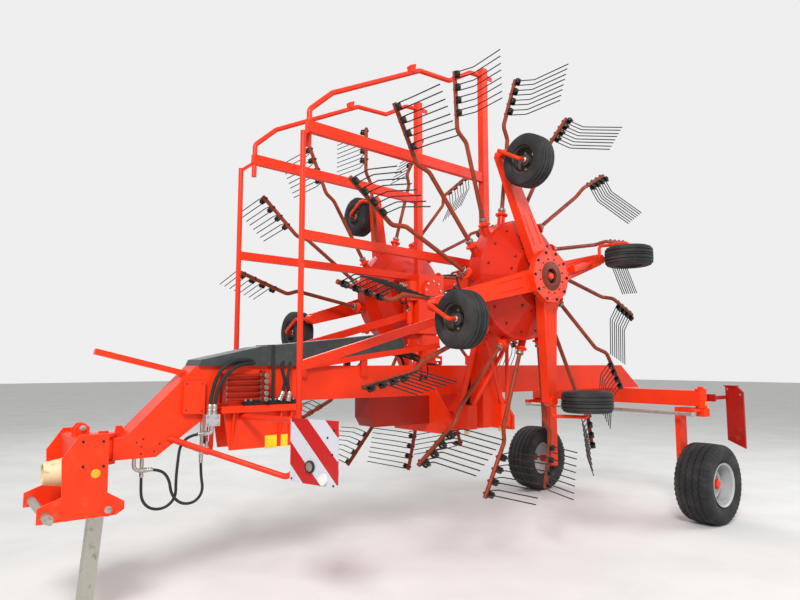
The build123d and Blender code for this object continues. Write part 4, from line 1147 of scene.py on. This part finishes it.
# Neck and nose: rusty bolts through the side plates of the nose, and four at
# the corners of the stiffener plate on each side of the neck.
NOSE_SIDE = 0.120
NOSE_BOLT = Matrix.Scale(0.5, 4)
NOSE_BOLTS = (
    # forward of the rear axle, up
    (5.650, 1.200), (5.692, 1.180), (5.660, 1.150), (5.575, 1.112), (5.663, 1.100), (5.540, 1.160),
)
STIFFENER_SIDE = 0.160
STIFFENER_BOLT = Matrix.Scale(0.45, 4)
STIFFENER_BOLTS = ((5.375, 1.572), (5.262, 1.572), (5.375, 1.385), (5.262, 1.375))
for name, side in SIDES:
    bolts = [outward(spot(x, side * NOSE_SIDE, z), side) @ NOSE_BOLT for x, z in NOSE_BOLTS]
    bolts += [outward(spot(x, side * STIFFENER_SIDE, z), side) @ STIFFENER_BOLT for x, z in STIFFENER_BOLTS]
    spread("nose_bolts_" + name, small_bolt, bolts, rust_red, "chassis")


# Rotor drums: two bolts in each facet of the bell, one near the carrier ring
# that holds the arms' bearings and one near its narrow end.
BELL_LOW = 0.930
BELL_TOP = 1.080
BELL_OUT = 0.520
BELL_IN = 0.250
BELL_BOLTS = (0.14, 0.82)
bell_slope = math.atan2(BELL_TOP - BELL_LOW, BELL_OUT - BELL_IN)
lean = Matrix.Rotation(bell_slope, 4, "Z")
for name, side in SIDES:
    places = []
    for index in range(ARM_COUNT):
        angle = arm_angle(name, index + 0.5)
        for share in BELL_BOLTS:
            radius = (BELL_OUT + (BELL_IN - BELL_OUT) * share) * math.cos(math.pi / ARM_COUNT)
            along = BELL_LOW + (BELL_TOP - BELL_LOW) * share
            places.append(on_side(round_rotor(angle, (radius, along, 0)) @ lean, side))
    spread("bell_bolts_" + name, small_bolt, places, rusty, "rotor_" + name)


# Rotor heads: rubber hoses that loop from the small motor and the side boxes
# to the gear case, with zinc ferrules, and a ring of bolts on the rear cap.
CAP_FACE = 0.300
CAP_UP = 0.020
CAP_BOLTS = 8
CAP_BOLTS_OUT = 0.098
HEAD_HOSES = (
    # radius, route: forward of the rotor's axis, outward, up from it
    (0.009, ((0.215, 0.425, -0.335), (0.215, 0.430, -0.400), (0.150, 0.470, -0.440), (0.110, 0.520, -0.330),
     (0.120, 0.560, -0.240), (0.150, 0.570, -0.200))),
    (0.009, ((0.275, 0.400, 0.060), (0.330, 0.410, 0.060), (0.345, 0.450, -0.020), (0.300, 0.480, -0.130),
     (0.230, 0.470, -0.110), (0.205, 0.445, -0.088))),
    (0.008, ((0.275, 0.460, 0.080), (0.340, 0.470, 0.090), (0.330, 0.500, 0.160), (0.240, 0.540, 0.180),
     (0.160, 0.540, 0.150))),
    (0.008, ((0.275, 0.380, 0.000), (0.330, 0.370, -0.020), (0.320, 0.360, -0.120), (0.250, 0.400, -0.180),
     (0.248, 0.425, -0.200))),
    (0.009, ((-0.255, 0.440, -0.080), (-0.310, 0.440, -0.080), (-0.320, 0.460, 0.010),
     (-0.260, 0.500, 0.100), (-0.165, 0.500, 0.110))),
)
for name, side in SIDES:
    body = "head_" + name
    ends = []
    for number, (radius, route) in enumerate(HEAD_HOSES):
        places = [ROTOR + Vector((x, side * y, z)) for x, y, z in route]
        fixed_hose("head_hose_%d_%s" % (number, name), radius, body, places)
        ends += hose_ends(places)
    spread("head_ferrules_" + name, ferrule_mesh, ends, zinc, body)
    cap = Matrix.Translation(ROTOR + Vector((0, side * CAP_FACE, CAP_UP)))
    inward = turned("Z", 180 if side > 0 else 0)
    bolts = [place @ inward for place in ring_of(cap, CAP_BOLTS, CAP_BOLTS_OUT)]
    spread("rear_cap_bolts_" + name, small_bolt, bolts, zinc, body)


# Rear end of the main beam's cover: of the lines that it hides, two come out
# in loops to the beam's left side and one to its right, and one runs on back.
REAR_HOSES = (
    # radius, route
    (0.0125, ((3.460, 0.070, 1.800), (3.360, 0.075, 1.815), (3.250, 0.095, 1.790), (3.180, 0.132, 1.720),
     (3.160, 0.140, 1.620), (3.185, 0.122, 1.560))),
    (0.0125, ((3.460, 0.035, 1.810), (3.350, 0.040, 1.840), (3.220, 0.070, 1.810), (3.130, 0.138, 1.740),
     (3.105, 0.144, 1.640), (3.120, 0.122, 1.570))),
    (0.0110, ((3.460, 0.000, 1.800), (3.340, 0.000, 1.800), (3.200, 0.020, 1.765), (3.060, 0.040, 1.722),
     (2.960, 0.050, 1.712), (2.900, 0.060, 1.700))),
    (0.0125, ((3.460, -0.060, 1.800), (3.350, -0.070, 1.820), (3.240, -0.095, 1.785),
     (3.175, -0.136, 1.710), (3.160, -0.142, 1.620), (3.180, -0.122, 1.560))),
)
for number, (radius, route) in enumerate(REAR_HOSES):
    fixed_hose("rear_hose_%d" % number, radius, "chassis", [spot(*point) for point in route])


# Feet of the booms: cream plastic caps under the two feet of each boom, over
# the grease points of their pivots.
FOOT_PLACES = (2.510, 2.950)
FOOT_Y = 0.500
FOOT_LOW = 1.130
foot_cap_mesh = turned_mesh([
    (0, 0.000), (0.019, 0.000), (0.019, -0.014), (0.022, -0.016), (0.022, -0.040), (0.017, -0.050),
    (0, -0.052)], 20, "Z")
for name, side in SIDES:
    places = [at(*spot(x, side * FOOT_Y, FOOT_LOW)) for x in FOOT_PLACES]
    spread("foot_caps_" + name, foot_cap_mesh, places, cream_plastic, "boom_" + name)


size = {"cad": [list(c) for c in cad_box], "visual": [list(c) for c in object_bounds()]}
